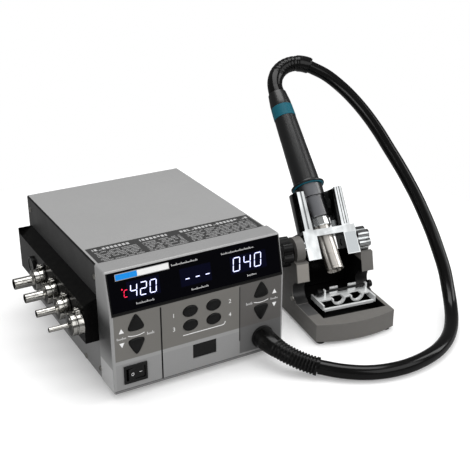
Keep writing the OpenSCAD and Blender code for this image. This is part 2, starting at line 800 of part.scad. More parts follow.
module blower_motor() color("silver") console() translate([blower_x, blower_y, 0]) {
    translate([0, 0, floor_z + blower_h]) cylinder(r = 14, h = 20);
    translate([0, 0, rotor_z]) cylinder(r = shaft_r, h = floor_z + blower_h - rotor_z + 0.1);
}

module air_duct() color("dimgray") console() difference() {
    along_y(socket_r, socket_l, duct_y, socket_x, socket_z);
    along_y(socket_bore, socket_l - 1, duct_y + 1, socket_x, socket_z);
}

module mains_inlet() color("black") console() translate([inlet_x, 0, inlet_z]) difference() {
    union() {
        block([-inlet_w / 2 + 0.1, case_d - inlet_d, -inlet_h / 2 + 0.1],
              [inlet_w / 2 - 0.1, case_d + 0.1, inlet_h / 2 - 0.1]);
        block([-inlet_w / 2 - 2, case_d, -inlet_h / 2 - 6], [inlet_w / 2 + 2, case_d + 2.4, inlet_h / 2 + 2]);
    }
    block([-11.8, case_d - 16, -7.6], [11.8, case_d + 3, 7.6]);
}

// ---- Stand ----

module stand_base() color("gray") stand() {
    difference() {
        union() {
            intersection() {
                translate([stand_w / 2, base_arc_r - base_bulge, base_z])
                    cylinder(r = base_arc_r, h = base_h, $fn = 180);
                block([0, -base_bulge, base_z], [stand_w, stand_d, base_top]);
            }
            stand_arm(0);
            stand_arm(stand_w - arm_t);
            along_x(hub_r, hub_x0, hub_x0 + hub_t, pivot_y, pivot_z);
        }
        block([tray_x0, tray_y0, tray_floor], [tray_x1, tray_y1, base_top + 1]);
        block([arm_t + 1, tray_y0, tray_floor], [stand_w - arm_t - 1, tray_back, base_top + 1]);
        block([under_in, 8, base_z - 1], [stand_w - under_in, stand_d - 6, base_z + plate_t]);
        block([10, tray_back + 4, base_z], [stand_w - 10, stand_d - 12, base_z + under_h]);
        along_x(stub_r + run_gap, -1, arm_t + 2, pivot_y, pivot_z);
        along_x(bearing_r + side_gap, stand_w - arm_t - 1, stand_w + 1, pivot_y, pivot_z);
        along_x(washer_r + side_gap, hub_x0 + hub_t, arm_t + 1, pivot_y, pivot_z);
        for (x = [-1, stand_w - bolt_l])
            along_x(bolt_r + run_gap, x, x + bolt_l + 1, bolt_y, bolt_z);
    }
}

// One arm: its side view, with a round bite out of its front and a sloped back
module stand_arm(x) across(x, x + arm_t) polygon(concat(
    [[arm_front_y - 1, base_top - 1]],
    arc([arm_front_y + 1, base_top + 14], bite_r, -70, 80),
    [
        [arm_front_y, arm_front_z0], [arm_front_y + arm_lean, arm_front_z1],
        [shield_y, arm_front_z1], [shield_y + shield_t, shield_top + 1], [stand_d - 6, base_top - 1]
    ]
));

module stand_bottom() color("black") stand()
    block([under_in + 0.2, 8.2, base_z], [stand_w - under_in - 0.2, stand_d - 6.2, base_z + plate_t]);

module stand_feet() color("black") stand()
    for (x = [stand_foot_in, stand_w - stand_foot_in], y = [stand_foot_in - 3, stand_d - stand_foot_in])
        translate([x, y, 0]) cylinder(r = stand_foot_r, h = base_z);

module stand_bolts() color("silver") stand() {
    along_x(bolt_r, -0.1, bolt_l - 0.5, bolt_y, bolt_z);
    along_x(bolt_head_r, -1.6, 0, bolt_y, bolt_z);
    along_x(bolt_r, stand_w - bolt_l + 0.5, stand_w + 0.1, bolt_y, bolt_z);
    along_x(bolt_head_r, stand_w, stand_w + 1.6, bolt_y, bolt_z);
}

module stand_shield() color("black") stand()
    block([arm_t, shield_y, base_top], [stand_w - arm_t, shield_y + shield_t, shield_top]);

// ---- Tip rack in the base's tray ----

module tip_rack() color("silver") stand() difference() {
    union() {
        block([plate_x[0], rack_front, tray_floor], [plate_x[0] + deck_t, tray_back - 4, deck_z]);
        block([plate_x[1], rack_front, tray_floor], [plate_x[1] + deck_t, tray_y1 - 2, deck_z]);
        block([plate_x[0], rack_front, base_top - 3], [plate_x[1] + deck_t, rack_front + 3, base_top]);
        block([plate_x[0], deck_y0, deck_z - deck_t], [plate_x[1] + deck_t, deck_y1, deck_z]);
        for (x = cup_x)
            block([x - 5, deck_y1 - 1.5, deck_z - 0.1], [x + 5, deck_y1, deck_z + 8]);
        for (x = [rod_x0 + 3, plate_x[1] - 1])
            block([x, rod_y - 3, deck_z - 0.1], [x + deck_t, rod_y + 1, rod_z + 3]);
        intersection() {
            for (x = cup_x)
                along_y(cup_r, deck_y0 - 2, deck_y0 + 2, x, deck_z);
            block([plate_x[0], 0, 0], [plate_x[1], tray_back, deck_z]);
        }
    }
    for (x = cup_x)
        along_y(cup_r - deck_t, deck_y0 - 3, deck_y0 + 8, x, deck_z);
    along_x(rod_r + run_gap, 0, stand_w, rod_y, rod_z);
}

module tip_rack_rod() color("black") stand() {
    along_x(rod_r, rod_x0, tray_x1, rod_y, rod_z);
    along_x(rod_knob_r, rod_x0 - 5, rod_x0 + 0.5, rod_y, rod_z);
    along_x(rod_knob_r, tray_x1 - 2, tray_x1 + 2.5, rod_y, rod_z);
}

// ---- Tilting cradle ----

module cradle() color("silver") difference() {
    upright() {
        for (s = [0, 1]) mirror([s, 0, 0])
            block([block_x0, cradle_front, block_low], [block_x1, block_back, web_low + 0.1]);
        block([-block_x1, cradle_front, web_low], [block_x1, web_back, web_high]);
        translate([gun_x, 0, 0]) difference() {
            translate([0, 0, web_high - 0.1]) cylinder(r = horn_r, h = horn_top - web_high + 0.1);
            translate([0, 0, web_high]) cylinder(r = horn_in_r, h = horn_top);
            block([-horn_slot, -horn_r - 1, web_high], [horn_slot, horn_r + 1, horn_top + 1]);
            block([-horn_r - 1, -horn_r - 1, web_low], [horn_r + 1, cradle_front, horn_top + 1]);
            block([-horn_r - 1, horn_back, web_low], [horn_r + 1, horn_r + 1, horn_top + 1]);
        }
    }
    gun() cylinder(r = barrel_r + 1, h = nut_high);
    tilt() for (s = [0, 1]) mirror([s, 0, 0])
        along_x(stub_r + 0.01, block_x0 - 1, block_x1 + 1);
}

module tilt_stubs() color("silver") tilt() {
    along_x(stub_r, -stand_w / 2 - stub_over, -block_x0 - 1);
    along_x(stub_r, block_x0 + 1, stand_w / 2 - 1);
    translate([-block_x1 - 2.6, 0, 0]) rotate([0, 90, 0]) lobed(9.5, washer_r, 8, 2.6);
}

// A round knob of radius r with lobes out to outer_r
module lobed(r, outer_r, count, h) {
    lobe = (outer_r - r) * 1.4;
    cylinder(r = r, h = h);
    for (a = [0:360 / count:359])
        rotate(a + 180 / count) translate([outer_r - lobe, 0, 0]) cylinder(r = lobe, h = h);
}

module star_knob() color("black") tilt() translate([-stand_w / 2 + hub_x0 - 0.5, 0, 0]) rotate([0, -90, 0]) difference() {
    union() {
        cylinder(r = knob_boss_r, h = knob_boss_h + 1);
        translate([0, 0, knob_boss_h]) lobed(knob_r - 4, knob_r, 6, knob_h);
    }
    translate([0, 0, -1]) cylinder(r = stub_r + run_gap, h = stub_over + 4);
}

module tilt_bearing() color("silver") stand() translate([stand_w - arm_t, pivot_y, pivot_z]) rotate([0, 90, 0]) difference() {
    lobed(11, bearing_r, 6, arm_t - 1);
    translate([0, 0, -1]) cylinder(r = stub_r + run_gap, h = arm_t + 1);
}

// ---- Gun ----

module gun_barrel() color("silver") gun() difference() {
    union() {
        translate([0, 0, -barrel_drop]) cylinder(r = barrel_r, h = barrel_end_l + 0.1);
        translate([0, 0, barrel_end_l - barrel_drop])
            cylinder(r = shank_r, h = barrel_top + barrel_drop - barrel_end_l);
    }
    translate([0, 0, -barrel_drop - 1]) cylinder(r = barrel_bore, h = barrel_top + barrel_drop + 2);
}

module barrel_nut() color("silver") gun() difference() {
    translate([0, 0, nut_low]) cylinder(r = nut_r, h = nut_high - nut_low);
    translate([0, 0, nut_low - 1]) cylinder(r = shank_r + press_gap, h = nut_high);
}

module gun_nose() color("black") gun() difference() {
    translate([0, 0, nut_high]) cylinder(r1 = nose_low_r, r2 = nose_top_r, h = nose_high - nut_high);
    translate([0, 0, nut_high - 1]) cylinder(r = shank_r + press_gap, h = barrel_top - nut_high + 1);
    translate([0, 0, barrel_top - 1]) cylinder(r = core_r + 1, h = nose_high - barrel_top + 2);
}

module gun_bands() color("teal") gun() {
    difference() {
        translate([0, 0, nose_high]) cylinder(r = flange_r - 0.4, h = 1.2);
        translate([0, 0, nose_high - 1]) cylinder(r = core_r + 1, h = 4);
    }
    difference() {
        translate([0, 0, band_low]) cylinder(r1 = handle_top_r + 0.4, r2 = handle_top_r, h = band_l);
        translate([0, 0, band_low - 1]) cylinder(r = core_r + 1, h = band_l + 2);
    }
}

module gun_handle() color("black") gun() difference() {
    union() {
        translate([0, 0, nose_high + 1.2]) cylinder(r = flange_r, h = flange_t - 1.2);
        translate([0, 0, handle_low - 0.1]) cylinder(r1 = handle_r, r2 = handle_top_r, h = handle_l + 0.1);
    }
    translate([0, 0, nose_high]) cylinder(r = core_r + 1, h = handle_l + flange_t + 1);
}

module gun_collar() color("black") gun() difference() {
    translate([0, 0, band_low + band_l]) cylinder(r1 = handle_top_r - 0.2, r2 = boot_start_r, h = collar_l);
    translate([0, 0, band_low + band_l - 1]) cylinder(r = socket_bore, h = collar_l + 2);
}

module gun_boot() color("black") gun() {
    line = concat([[0, 0, boot_low]], [for (i = [0:boot_steps]) let (a = boot_turn * i / boot_steps)
        [boot_bend * (1 - cos(a)), 0, boot_low + boot_lead + boot_bend * sin(a)]]);
    swept(line, [for (p = line) boot_r], 20, [[0, 0, 1], [sin(boot_turn), 0, cos(boot_turn)]], [0, 1, 0]);
}

module heater_core() color("white") gun() difference() {
    translate([0, 0, -barrel_drop + 12]) cylinder(r = core_r, h = barrel_top + barrel_drop - 12 + 10);
    for (a = [0:60:300])
        rotate(a) translate([4.2, 0, -barrel_drop]) cylinder(r = 1.4, h = barrel_top + barrel_drop + 30);
}

chassis_tray();
rear_panel();
case_cover();
front_bezel();
display_window();
display_board();
digit_modules();
key_board();
temp_up_button();
temp_down_button();
air_up_button();
air_down_button();
channel_1_button();
channel_2_button();
channel_3_button();
channel_4_button();
switch_frame();
switch_rocker();
port_cover();
hose_socket();
console_boot();
hose_lower();
hose_upper();
nozzle_rack();
nozzle_seats();
nozzle_10mm();
nozzle_8mm();
nozzle_6mm();
nozzle_3mm();
main_board();
board_standoffs();
transformer();
heat_sink();
blower_housing();
blower_rotor();
blower_motor();
air_duct();
mains_inlet();
case_feet();
case_screws();
stand_base();
stand_bottom();
stand_feet();
stand_bolts();
stand_shield();
tip_rack();
tip_rack_rod();
cradle();
tilt_stubs();
star_knob();
tilt_bearing();
gun_handle();
gun_nose();
gun_bands();
gun_collar();
gun_boot();
barrel_nut();
gun_barrel();
heater_core();
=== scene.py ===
# %% [markdown]
# # A hot-air rework station
#
# This bench tool takes small parts off a circuit board with hot air. A console holds the blower, a hose
# carries the air, and a gun rests in a chrome cradle on its own cast stand. The CAD frame holds every solid
# and joint already. This notebook dresses it: each piece gets its real edges, fine shapes and finish, and
# rides on its own body. The frame's box is kept, so that the last step can print it beside the new one.

# %% Load the frame
import json
import math
import bmesh
import bpy
from mathutils import Matrix, Vector


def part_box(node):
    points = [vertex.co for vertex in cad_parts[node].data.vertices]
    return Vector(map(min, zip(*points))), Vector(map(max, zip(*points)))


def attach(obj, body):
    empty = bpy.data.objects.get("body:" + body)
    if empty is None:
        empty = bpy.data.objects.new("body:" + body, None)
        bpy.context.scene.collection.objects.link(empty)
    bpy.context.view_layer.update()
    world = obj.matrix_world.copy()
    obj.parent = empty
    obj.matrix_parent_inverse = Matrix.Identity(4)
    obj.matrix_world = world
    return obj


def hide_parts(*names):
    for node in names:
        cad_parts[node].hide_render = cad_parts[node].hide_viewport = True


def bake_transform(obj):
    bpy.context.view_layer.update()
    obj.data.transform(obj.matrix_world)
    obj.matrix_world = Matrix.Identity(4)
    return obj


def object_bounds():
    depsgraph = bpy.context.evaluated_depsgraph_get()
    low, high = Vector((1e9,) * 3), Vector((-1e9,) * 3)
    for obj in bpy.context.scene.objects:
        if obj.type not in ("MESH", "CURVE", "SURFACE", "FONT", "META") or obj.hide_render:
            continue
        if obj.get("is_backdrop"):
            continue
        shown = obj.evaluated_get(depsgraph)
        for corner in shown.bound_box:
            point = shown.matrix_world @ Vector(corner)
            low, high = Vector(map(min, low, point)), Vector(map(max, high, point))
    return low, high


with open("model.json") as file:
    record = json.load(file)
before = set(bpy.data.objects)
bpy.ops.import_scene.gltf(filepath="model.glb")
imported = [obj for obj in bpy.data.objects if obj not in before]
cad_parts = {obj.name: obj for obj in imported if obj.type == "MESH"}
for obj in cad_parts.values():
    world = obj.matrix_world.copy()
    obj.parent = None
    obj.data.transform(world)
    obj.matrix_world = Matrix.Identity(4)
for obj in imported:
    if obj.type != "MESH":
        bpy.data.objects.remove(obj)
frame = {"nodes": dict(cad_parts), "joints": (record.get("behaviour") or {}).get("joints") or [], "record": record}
cad_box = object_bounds()

# %% [markdown]
# ## Where things are measured from
#
# A maker measures the console from its front left corner, the stand from its front edge, and the gun along
# its axis. Each place is a matrix that turns its millimetres into metres in the frame. The bezel's box and
# the joints give them, so if the CAD model moves, the looks move with it.

# %% The console's, the stand's and the gun's own places
MM = 0.001
QUARTER = math.pi / 2
UP = Vector((0, 0, 1))
joints = {joint["name"]: joint for joint in frame["joints"]}
bezel_low, bezel_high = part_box("front_bezel")


def axes(x, y, z, at):
    """A place with these three directions and this middle, measured in millimetres."""
    place = Matrix((x, y, z)).transposed().to_4x4()
    place.translation = at
    return place @ Matrix.Scale(MM, 4)


def shift(x, y, z):
    return Matrix.Translation((x, y, z))


def turn(angle, axis):
    return Matrix.Rotation(angle, 4, axis)


tilt_pivot = Vector(joints["cradle_tilt"]["pos_m"])
tilt_axis = Vector(joints["cradle_tilt"]["axis"]).normalized()
gun_axis = Vector(joints["gun_lift"]["axis"]).normalized()
GUN_OFFSET = -1.5
PIVOT_IN_STAND = Vector((47.5, 70, 81))
CREASE_Z = 91.5
CASE_W = round((bezel_high.x - bezel_low.x) / MM, 2)
CASE_TOP = round(bezel_high.z / MM, 2)
CASE_D = 240
LEAN_BACK = 10
lean = math.atan2(LEAN_BACK, CASE_TOP - CREASE_Z)
SLOPE_L = (CASE_TOP - CREASE_Z) / math.cos(lean)

console = axes((1, 0, 0), (0, 1, 0), (0, 0, 1), (bezel_low.x, bezel_low.y, 0))
slope = console @ shift(0, 0, CREASE_Z) @ turn(-lean, "X")
stand = axes(tilt_axis, UP.cross(tilt_axis), UP, tilt_pivot) @ Matrix.Translation(-PIVOT_IN_STAND)
tilt = axes(tilt_axis, gun_axis.cross(tilt_axis), gun_axis, tilt_pivot)
gun = tilt @ shift(GUN_OFFSET, 0, 0)
print(f"console {CASE_W} mm wide and {CASE_TOP} mm high, its display leans {math.degrees(lean):.1f} degrees")

# %% [markdown]
# ## The camera
#
# The object is seen from its front left, a little from above, so that the front panel, the top and the
# nozzle rack all show. A long lens gives gentle perspective. The camera's -Z axis is turned towards a point
# inside the object, which is easier to reason about than three typed angles.

# %% Camera
TARGET = console @ Vector((133, 0, 146.3))
AZIMUTH = math.radians(-29.55)
ELEVATION = math.radians(23.68)
DISTANCE, FOCAL_LENGTH, SENSOR = 0.8712, 69.07, 36


def shown(name, data):
    """A new object in the scene."""
    thing = bpy.data.objects.new(name, data)
    bpy.context.scene.collection.objects.link(thing)
    return thing


lens = bpy.data.cameras.new("camera")
lens.sensor_width = SENSOR
lens.lens = FOCAL_LENGTH
camera = shown("camera", lens)
bpy.context.scene.camera = camera
to_camera = Vector((
    math.sin(AZIMUTH) * math.cos(ELEVATION),
    -math.cos(AZIMUTH) * math.cos(ELEVATION),
    math.sin(ELEVATION),
))
camera.location = TARGET + to_camera * DISTANCE
camera.rotation_euler = (-to_camera).to_track_quat("-Z", "Y").to_euler()
bpy.context.scene.view_settings.view_transform = "Standard"
print("camera at", [round(v, 3) for v in camera.location])

# %% [markdown]
# ## Hand tools for the modelling
#
# Every piece is shaped as it would be by hand: a primitive goes down at its size and place, a few faces or
# edges are picked, and an operator works on them. An operator acts on whatever is selected, so these helpers
# first put everything else down. They work in millimetres in the piece's own place, and `settle` moves the
# finished mesh to the frame, so that the object itself stays at the origin.

# %% Put down and pick up
def put_down():
    for piece in bpy.context.selected_objects:
        piece.select_set(False)


def take(*pieces):
    """Only these are selected, and the first one is active."""
    put_down()
    for piece in pieces:
        piece.select_set(True)
    bpy.context.view_layer.objects.active = pieces[0]


def newest(name):
    """The primitive that was just added, with its place and size put into its mesh."""
    piece = bpy.context.active_object
    piece.name = piece.data.name = name
    bpy.ops.object.transform_apply(location=True, rotation=True, scale=True)
    return piece


def block(name, low, high):
    """A box between two corners."""
    low, high = Vector(low), Vector(high)
    put_down()
    bpy.ops.mesh.primitive_cube_add(size=1, location=(low + high) / 2, scale=high - low)
    return newest(name)


def rod(name, radius, start, end, at=(0, 0), axis="z", sides=48):
    """A round bar along y or z, from start to end, at its place on the other two axes."""
    middle = list(at)
    middle.insert("xyz".index(axis), (start + end) / 2)
    put_down()
    bpy.ops.mesh.primitive_cone_add(vertices=sides, radius1=radius, radius2=radius, depth=end - start,
                                    location=middle, rotation=(-QUARTER if axis == "y" else 0, 0, 0))
    return newest(name)


# %% Pick faces, edges or corners by where they are
def choose(piece, test, kind="FACE"):
    """Goes into edit mode with only those picked for which the test holds."""
    take(piece)
    bpy.ops.object.mode_set(mode="EDIT")
    bpy.ops.mesh.select_mode(type=kind)
    bpy.ops.mesh.select_all(action="DESELECT")
    shape = bmesh.from_edit_mesh(piece.data)
    for part in {"FACE": shape.faces, "EDGE": shape.edges, "VERT": shape.verts}[kind]:
        if test(part):
            part.select_set(True)
    shape.select_flush_mode()
    bmesh.update_edit_mesh(piece.data)


def everything(part):
    return True


def done():
    bpy.ops.object.mode_set(mode="OBJECT")


def middle_of(edge):
    return (edge.verts[0].co + edge.verts[1].co) / 2


def round_off(piece, test, width, segments, **settings):
    """Rounds only the edges for which the test holds."""
    choose(piece, test, "EDGE")
    bpy.ops.mesh.bevel(offset=width, segments=segments, affect="EDGES", **settings)
    done()


def drawn_out(move):
    """Extrudes what is picked and moves it."""
    bpy.ops.mesh.extrude_region_move(TRANSFORM_OT_translate={"value": move})


def closed_up():
    bpy.ops.mesh.select_all(action="SELECT")
    bpy.ops.mesh.normals_make_consistent(inside=False)
    done()


# %% Outlines, turned shapes and modifiers
def chain(name, points):
    """A line of corners, each drawn out from the last."""
    points = [Vector(point) for point in points]
    put_down()
    bpy.ops.mesh.primitive_plane_add(size=1, location=points[0])
    piece = newest(name)
    choose(piece, everything, "VERT")
    bpy.ops.mesh.merge(type="CENTER")
    for here, there in zip(points, points[1:]):
        drawn_out(there - here)
    done()
    return piece


def plate(name, outline, thickness):
    """A flat outline, filled and given a thickness by drawing it out."""
    piece = chain(name, outline)
    last = len(outline) - 1
    choose(piece, lambda v: v.index in (0, last), "VERT")
    bpy.ops.mesh.edge_face_add()
    bpy.ops.mesh.select_all(action="SELECT")
    bpy.ops.mesh.edge_face_add()
    drawn_out(thickness)
    closed_up()
    return piece


def turned(name, profile, sides=64):
    """A shape off the lathe: a profile of (along, radius) points, spun round the z axis."""
    piece = chain(name, [(radius, 0, along) for along, radius in profile])
    choose(piece, everything, "VERT")
    bpy.ops.mesh.spin(steps=sides, angle=2 * math.pi, center=(0, 0, 0), axis=(0, 0, 1))
    bpy.ops.mesh.select_all(action="SELECT")
    bpy.ops.mesh.remove_doubles(threshold=0.001)
    closed_up()
    return piece


def apply(piece, kind, **settings):
    """Adds a modifier, sets it and applies it."""
    modifier = piece.modifiers.new(kind.title(), kind)
    for name, value in settings.items():
        setattr(modifier, name, value)
    take(piece)
    bpy.ops.object.modifier_apply(modifier=modifier.name)
    return piece


def joined(name, *pieces):
    """Several meshes made one piece."""
    take(*pieces)
    if len(pieces) > 1:
        bpy.ops.object.join()
    pieces[0].name = pieces[0].data.name = name
    return pieces[0]


def cut(piece, *cutters):
    """Takes the cutters out of the piece, and clears them away."""
    tool = joined("cutters", *cutters)
    apply(piece, "BOOLEAN", operation="DIFFERENCE", solver="EXACT", use_self=True, object=tool)
    bpy.data.objects.remove(tool)
    return piece


def copied(piece, place):
    """A copy with its own mesh, at that place in the piece's millimetres."""
    twin = shown(piece.name, piece.data.copy())
    twin.data.transform(place)
    return twin


def repeated(piece, name, places):
    """The same piece at every place, joined: a copy for each place but the first."""
    twins = [copied(piece, place) for place in places[1:]]
    piece.data.transform(places[0])
    return joined(name, piece, *twins)


def rounded_shading(piece, smooth=40):
    take(piece)
    bpy.ops.object.shade_smooth_by_angle(angle=math.radians(smooth))
    return apply(piece, "WEIGHTED_NORMAL", keep_sharp=True)


def soften(piece, width, segments=3, angle=30, smooth=40):
    """Real edges are never sharp: a small round on each, then shading that keeps the flats flat."""
    apply(piece, "BEVEL", width=width, segments=segments, limit_method="ANGLE",
          angle_limit=math.radians(angle), use_clamp_overlap=True, loop_slide=False)
    return rounded_shading(piece, smooth)


# %% Settle a finished piece on its body
slot_of = {part["node"]: part["material_slot"] for part in frame["record"]["subparts"]}
materials = {}
settled = []


def settle(piece, finish_name, *stands_for, place=console, body="station", slot=None):
    """Moves the mesh from its own place to the frame, dresses it, and lets it ride on its body."""
    piece.data.transform(place)
    piece.data.materials.clear()
    piece.data.materials.append(materials[finish_name])
    if body:
        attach(piece, body)
    if stands_for:
        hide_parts(*stands_for)
    settled.append(piece.name)
    return piece


print("hand tools ready, and", len(set(slot_of.values())), "finishes to make")

# %% [markdown]
# ## Finishes
#
# Nothing on a real bench tool is one flat colour. Powder coat has an orange-peel skin, plastic a fine grain,
# plated steel a few rubbed patches, and dust gathers on top. Many finishes use these effects, so each is a
# node group that is built once. The groups give only masks and heights. The shader stays in the material,
# where the exporter can read it.

# %% Node helpers
def fill(tree, socket, value):
    """A socket takes a value of its own, or a wire from another socket."""
    if isinstance(value, bpy.types.NodeSocket):
        tree.links.new(value, socket)
    else:
        socket.default_value = value


def put(tree, kind, *inputs, **values):
    """Adds a node. Inputs go in by order or by name, and any other name is the node's own setting."""
    node = tree.nodes.new(kind)
    for name, value in values.items():
        label = name.replace("_", " ")
        if label in node.inputs:
            fill(tree, node.inputs[label], value)
        else:
            setattr(node, name, value)
    for socket, value in zip(node.inputs, inputs):
        fill(tree, socket, value)
    return node


def calc(tree, operation, *inputs):
    return put(tree, "ShaderNodeMath", *inputs, operation=operation).outputs[0]


def vectors(tree, operation, *inputs):
    node = put(tree, "ShaderNodeVectorMath", *inputs, operation=operation)
    return node.outputs["Value" if operation == "DOT_PRODUCT" else "Vector"]


def noise(tree, point, **values):
    return put(tree, "ShaderNodeTexNoise", point, **values).outputs["Fac"]


def parted(tree, vector):
    """The x, y and z of a vector."""
    return put(tree, "ShaderNodeSeparateXYZ", vector).outputs


def ranged(tree, value, low, high, to_low=0.0, to_high=1.0, kind="LINEAR"):
    """The value, brought from one range to another and kept within it."""
    inputs = (value, low, high, to_low, to_high)
    return put(tree, "ShaderNodeMapRange", *inputs, interpolation_type=kind).outputs[0]


def coordinate(tree, name):
    return put(tree, "ShaderNodeTexCoord").outputs[name]


# %% [markdown]
# ### The shared effects
#
# *Grain* is two sizes of noise, the larger one for the orange peel. *Rubbed* is the uneven polish that hands
# leave. *Dust* lies on faces that look up. *Inside box* marks a box, for a printed zone with a crisp edge.

# %% Grain, rubbed patches, dust and the box mask
NUMBER, PLACE = "NodeSocketFloat", "NodeSocketVector"


def group(name, kind, *labels):
    """A shared effect's tree, with the point and the values of that kind that it takes."""
    tree = bpy.data.node_groups.new(name, "ShaderNodeTree")
    tree.interface.new_socket("Vector", in_out="INPUT", socket_type=PLACE)
    for label in labels:
        tree.interface.new_socket(label, in_out="INPUT", socket_type=kind)
    return tree, put(tree, "NodeGroupInput").outputs


def gives(tree, **sockets):
    """What the shared effect puts out."""
    for label in sockets:
        tree.interface.new_socket(label, in_out="OUTPUT", socket_type=NUMBER)
    put(tree, "NodeGroupOutput", **sockets)


grain, takes = group("grain", NUMBER, "Scale")
fine = noise(grain, takes["Vector"], Scale=takes["Scale"], Detail=3.0, Roughness=0.6)
peel = noise(grain, takes["Vector"], Scale=calc(grain, "MULTIPLY", takes["Scale"], 0.28), Detail=1.0)
gives(grain, Height=calc(grain, "ADD", fine, calc(grain, "MULTIPLY", peel, 0.35)), Mottle=fine)

rubbed, takes = group("rubbed", NUMBER, "Scale", "Low", "High")
cloud = noise(rubbed, takes["Vector"], Scale=takes["Scale"], Detail=5.0, Roughness=0.62, Distortion=0.4)
gives(rubbed, Roughness=ranged(rubbed, cloud, 0.32, 0.68, takes["Low"], takes["High"]), Patch=cloud)

dust, takes = group("dust", NUMBER, "Amount")
upward = parted(dust, put(dust, "ShaderNodeNewGeometry").outputs["Normal"])
specks = noise(dust, takes["Vector"], Scale=140.0, Detail=6.0, Roughness=0.75)
lying = calc(dust, "MULTIPLY", ranged(dust, upward["Z"], 0.55, 1.0), ranged(dust, specks, 0.42, 0.72))
gives(dust, Mask=calc(dust, "MULTIPLY", lying, takes["Amount"]))

inside_box, takes = group("inside box", PLACE, "Low", "High")
past_low = vectors(inside_box, "SUBTRACT", takes["Vector"], takes["Low"])
short_of_high = vectors(inside_box, "SUBTRACT", takes["High"], takes["Vector"])
depth = parted(inside_box, vectors(inside_box, "MINIMUM", past_low, short_of_high))
smallest = calc(inside_box, "MINIMUM", depth["X"], calc(inside_box, "MINIMUM", depth["Y"], depth["Z"]))
gives(inside_box, Mask=calc(inside_box, "GREATER_THAN", smallest, 0.0))
print("effects:", ", ".join(tree.name for tree in bpy.data.node_groups))

# %% [markdown]
# ### One recipe for painted, moulded and plated surfaces
#
# A finish is a colour, a polish and a skin. The recipe wires the shared effects to one shader and returns
# the tree, so that a finish can add its own nodes, such as printed zones. Colours are written as they look
# on a screen, and turned into the linear values that the renderer works in.

# %% The recipe
DUST = (176, 172, 166)
BUMP_DISTANCE = 0.0004


def linear(*shades):
    """Screen shades from 0 to 255, as one grey or as red, green and blue, in linear light."""
    shades = shades * 3 if len(shades) == 1 else shades
    return (*(((s / 255 + 0.055) / 1.055) ** 2.4 if s > 10 else s / 255 / 12.92 for s in shades), 1.0)


def brighter(colour, factor):
    return (*(min(1.0, c * factor) for c in colour[:3]), 1.0)


def mixed(tree, mask, a, b):
    """Colour a where the mask is 0, colour b where it is 1."""
    node = put(tree, "ShaderNodeMix", data_type="RGBA")
    for index, value in ((0, mask), (6, a), (7, b)):
        fill(tree, node.inputs[index], value)
    return node.outputs[2]


def placed(tree, shared, point, **values):
    """What a shared effect gives in this material, with its own values."""
    return put(tree, "ShaderNodeGroup", node_tree=shared, Vector=point, **values).outputs


def finish(name, shades, polish=(0.4, 0.5), skin=(900, 0.1), mottle=0.12, dusty=0.0, metal=0.0,
           specular=0.5, patch_scale=22.0, glow=0.0):
    """A material with those shades, range of roughness, and skin of (grain per metre, depth)."""
    colour = linear(*shades) if isinstance(shades, tuple) else linear(shades)
    material = bpy.data.materials.new(name)
    material.use_nodes = True
    materials[name] = material
    tree = material.node_tree
    point = coordinate(tree, "Object")
    skin_node = placed(tree, grain, point, Scale=skin[0])
    rub = placed(tree, rubbed, point, Low=polish[0], High=polish[1], Scale=patch_scale)
    specks_on = placed(tree, dust, point, Amount=dusty)
    bump = put(tree, "ShaderNodeBump", Strength=skin[1], Distance=BUMP_DISTANCE, Height=skin_node["Height"])
    body = mixed(tree, skin_node["Mottle"], brighter(colour, 1 - mottle), brighter(colour, 1 + mottle))
    inputs = {
        "Base Color": mixed(tree, specks_on["Mask"], body, linear(*DUST)), "Roughness": rub["Roughness"],
        "Normal": bump.outputs["Normal"], "Metallic": metal, "Specular IOR Level": specular}
    if glow:
        inputs["Emission Color"] = mixed(tree, rub["Patch"], colour, brighter(colour, 1.15))
        inputs["Emission Strength"] = glow
    for label, value in inputs.items():
        fill(tree, tree.nodes["Principled BSDF"].inputs[label], value)
    return tree


# %% Colour laid over a finish
def recoloured(tree, mask, *shades):
    """Lays another colour over the finish where the mask is 1."""
    base = tree.nodes["Principled BSDF"].inputs["Base Color"]
    fill(tree, base, mixed(tree, mask, base.links[0].from_socket, linear(*shades)))


def measured(tree, local):
    """The point in the millimetres of a local frame."""
    move, spin, size = local.inverted().decompose()
    return put(tree, "ShaderNodeMapping", coordinate(tree, "Object"),
               Location=move, Rotation=spin.to_euler(), Scale=size).outputs[0]


def zone(tree, point, low, high):
    """The mask of a box, whose corners are in the millimetres of the point's frame."""
    return placed(tree, inside_box, point, Low=low, High=high)["Mask"]


def zones(tree, point, *rows):
    """Colours boxes, each given as its low corner, its high corner and its shades."""
    for low, high, *shades in rows:
        recoloured(tree, zone(tree, point, low, high), *shades)


# %% [markdown]
# ### Plastics, rubber and metals
#
# Rubber and black plastic differ mostly by their gloss. Metals have hardly any skin, and differ by their
# polish. Finishes with zones are made later, beside their piece.

# %% Plastic, rubber and the inner parts
finish("hose_rubber", 6, (0.16, 0.2), (1400, 0.02), mottle=0.2, specular=0.34)
finish("foot_rubber", 24, (0.7, 0.85), (1200, 0.3))
finish("black_sheet", 8, (0.16, 0.26), (1500, 0.04), dusty=0.01, specular=0.08)
finish("gun_plastic", (11, 12, 13), (0.3, 0.34), (1600, 0.08), mottle=0.1, specular=0.75)
finish("nose_plastic", (13, 14, 15), (0.23, 0.25), (1600, 0.03), mottle=0.1, specular=1.0)
finish("teal_plastic", (8, 86, 102), skin=(1600, 0.1), specular=0.25)
finish("button_black", 15, (0.24, 0.34), (700, 0.02), specular=0.28)
finish("gloss_black", 14, (0.2, 0.3), (1100, 0.04), specular=0.4)
finish("digit_black", 18)
finish("rotor_white", 214)
finish("ceramic", (206, 200, 190), (0.6, 0.7), (800, 0.2))
finish("winding", (176, 120, 40), (0.45, 0.6), (500, 0.2))
finish("board_green", (22, 84, 48), (0.3, 0.42), (300, 0.06))

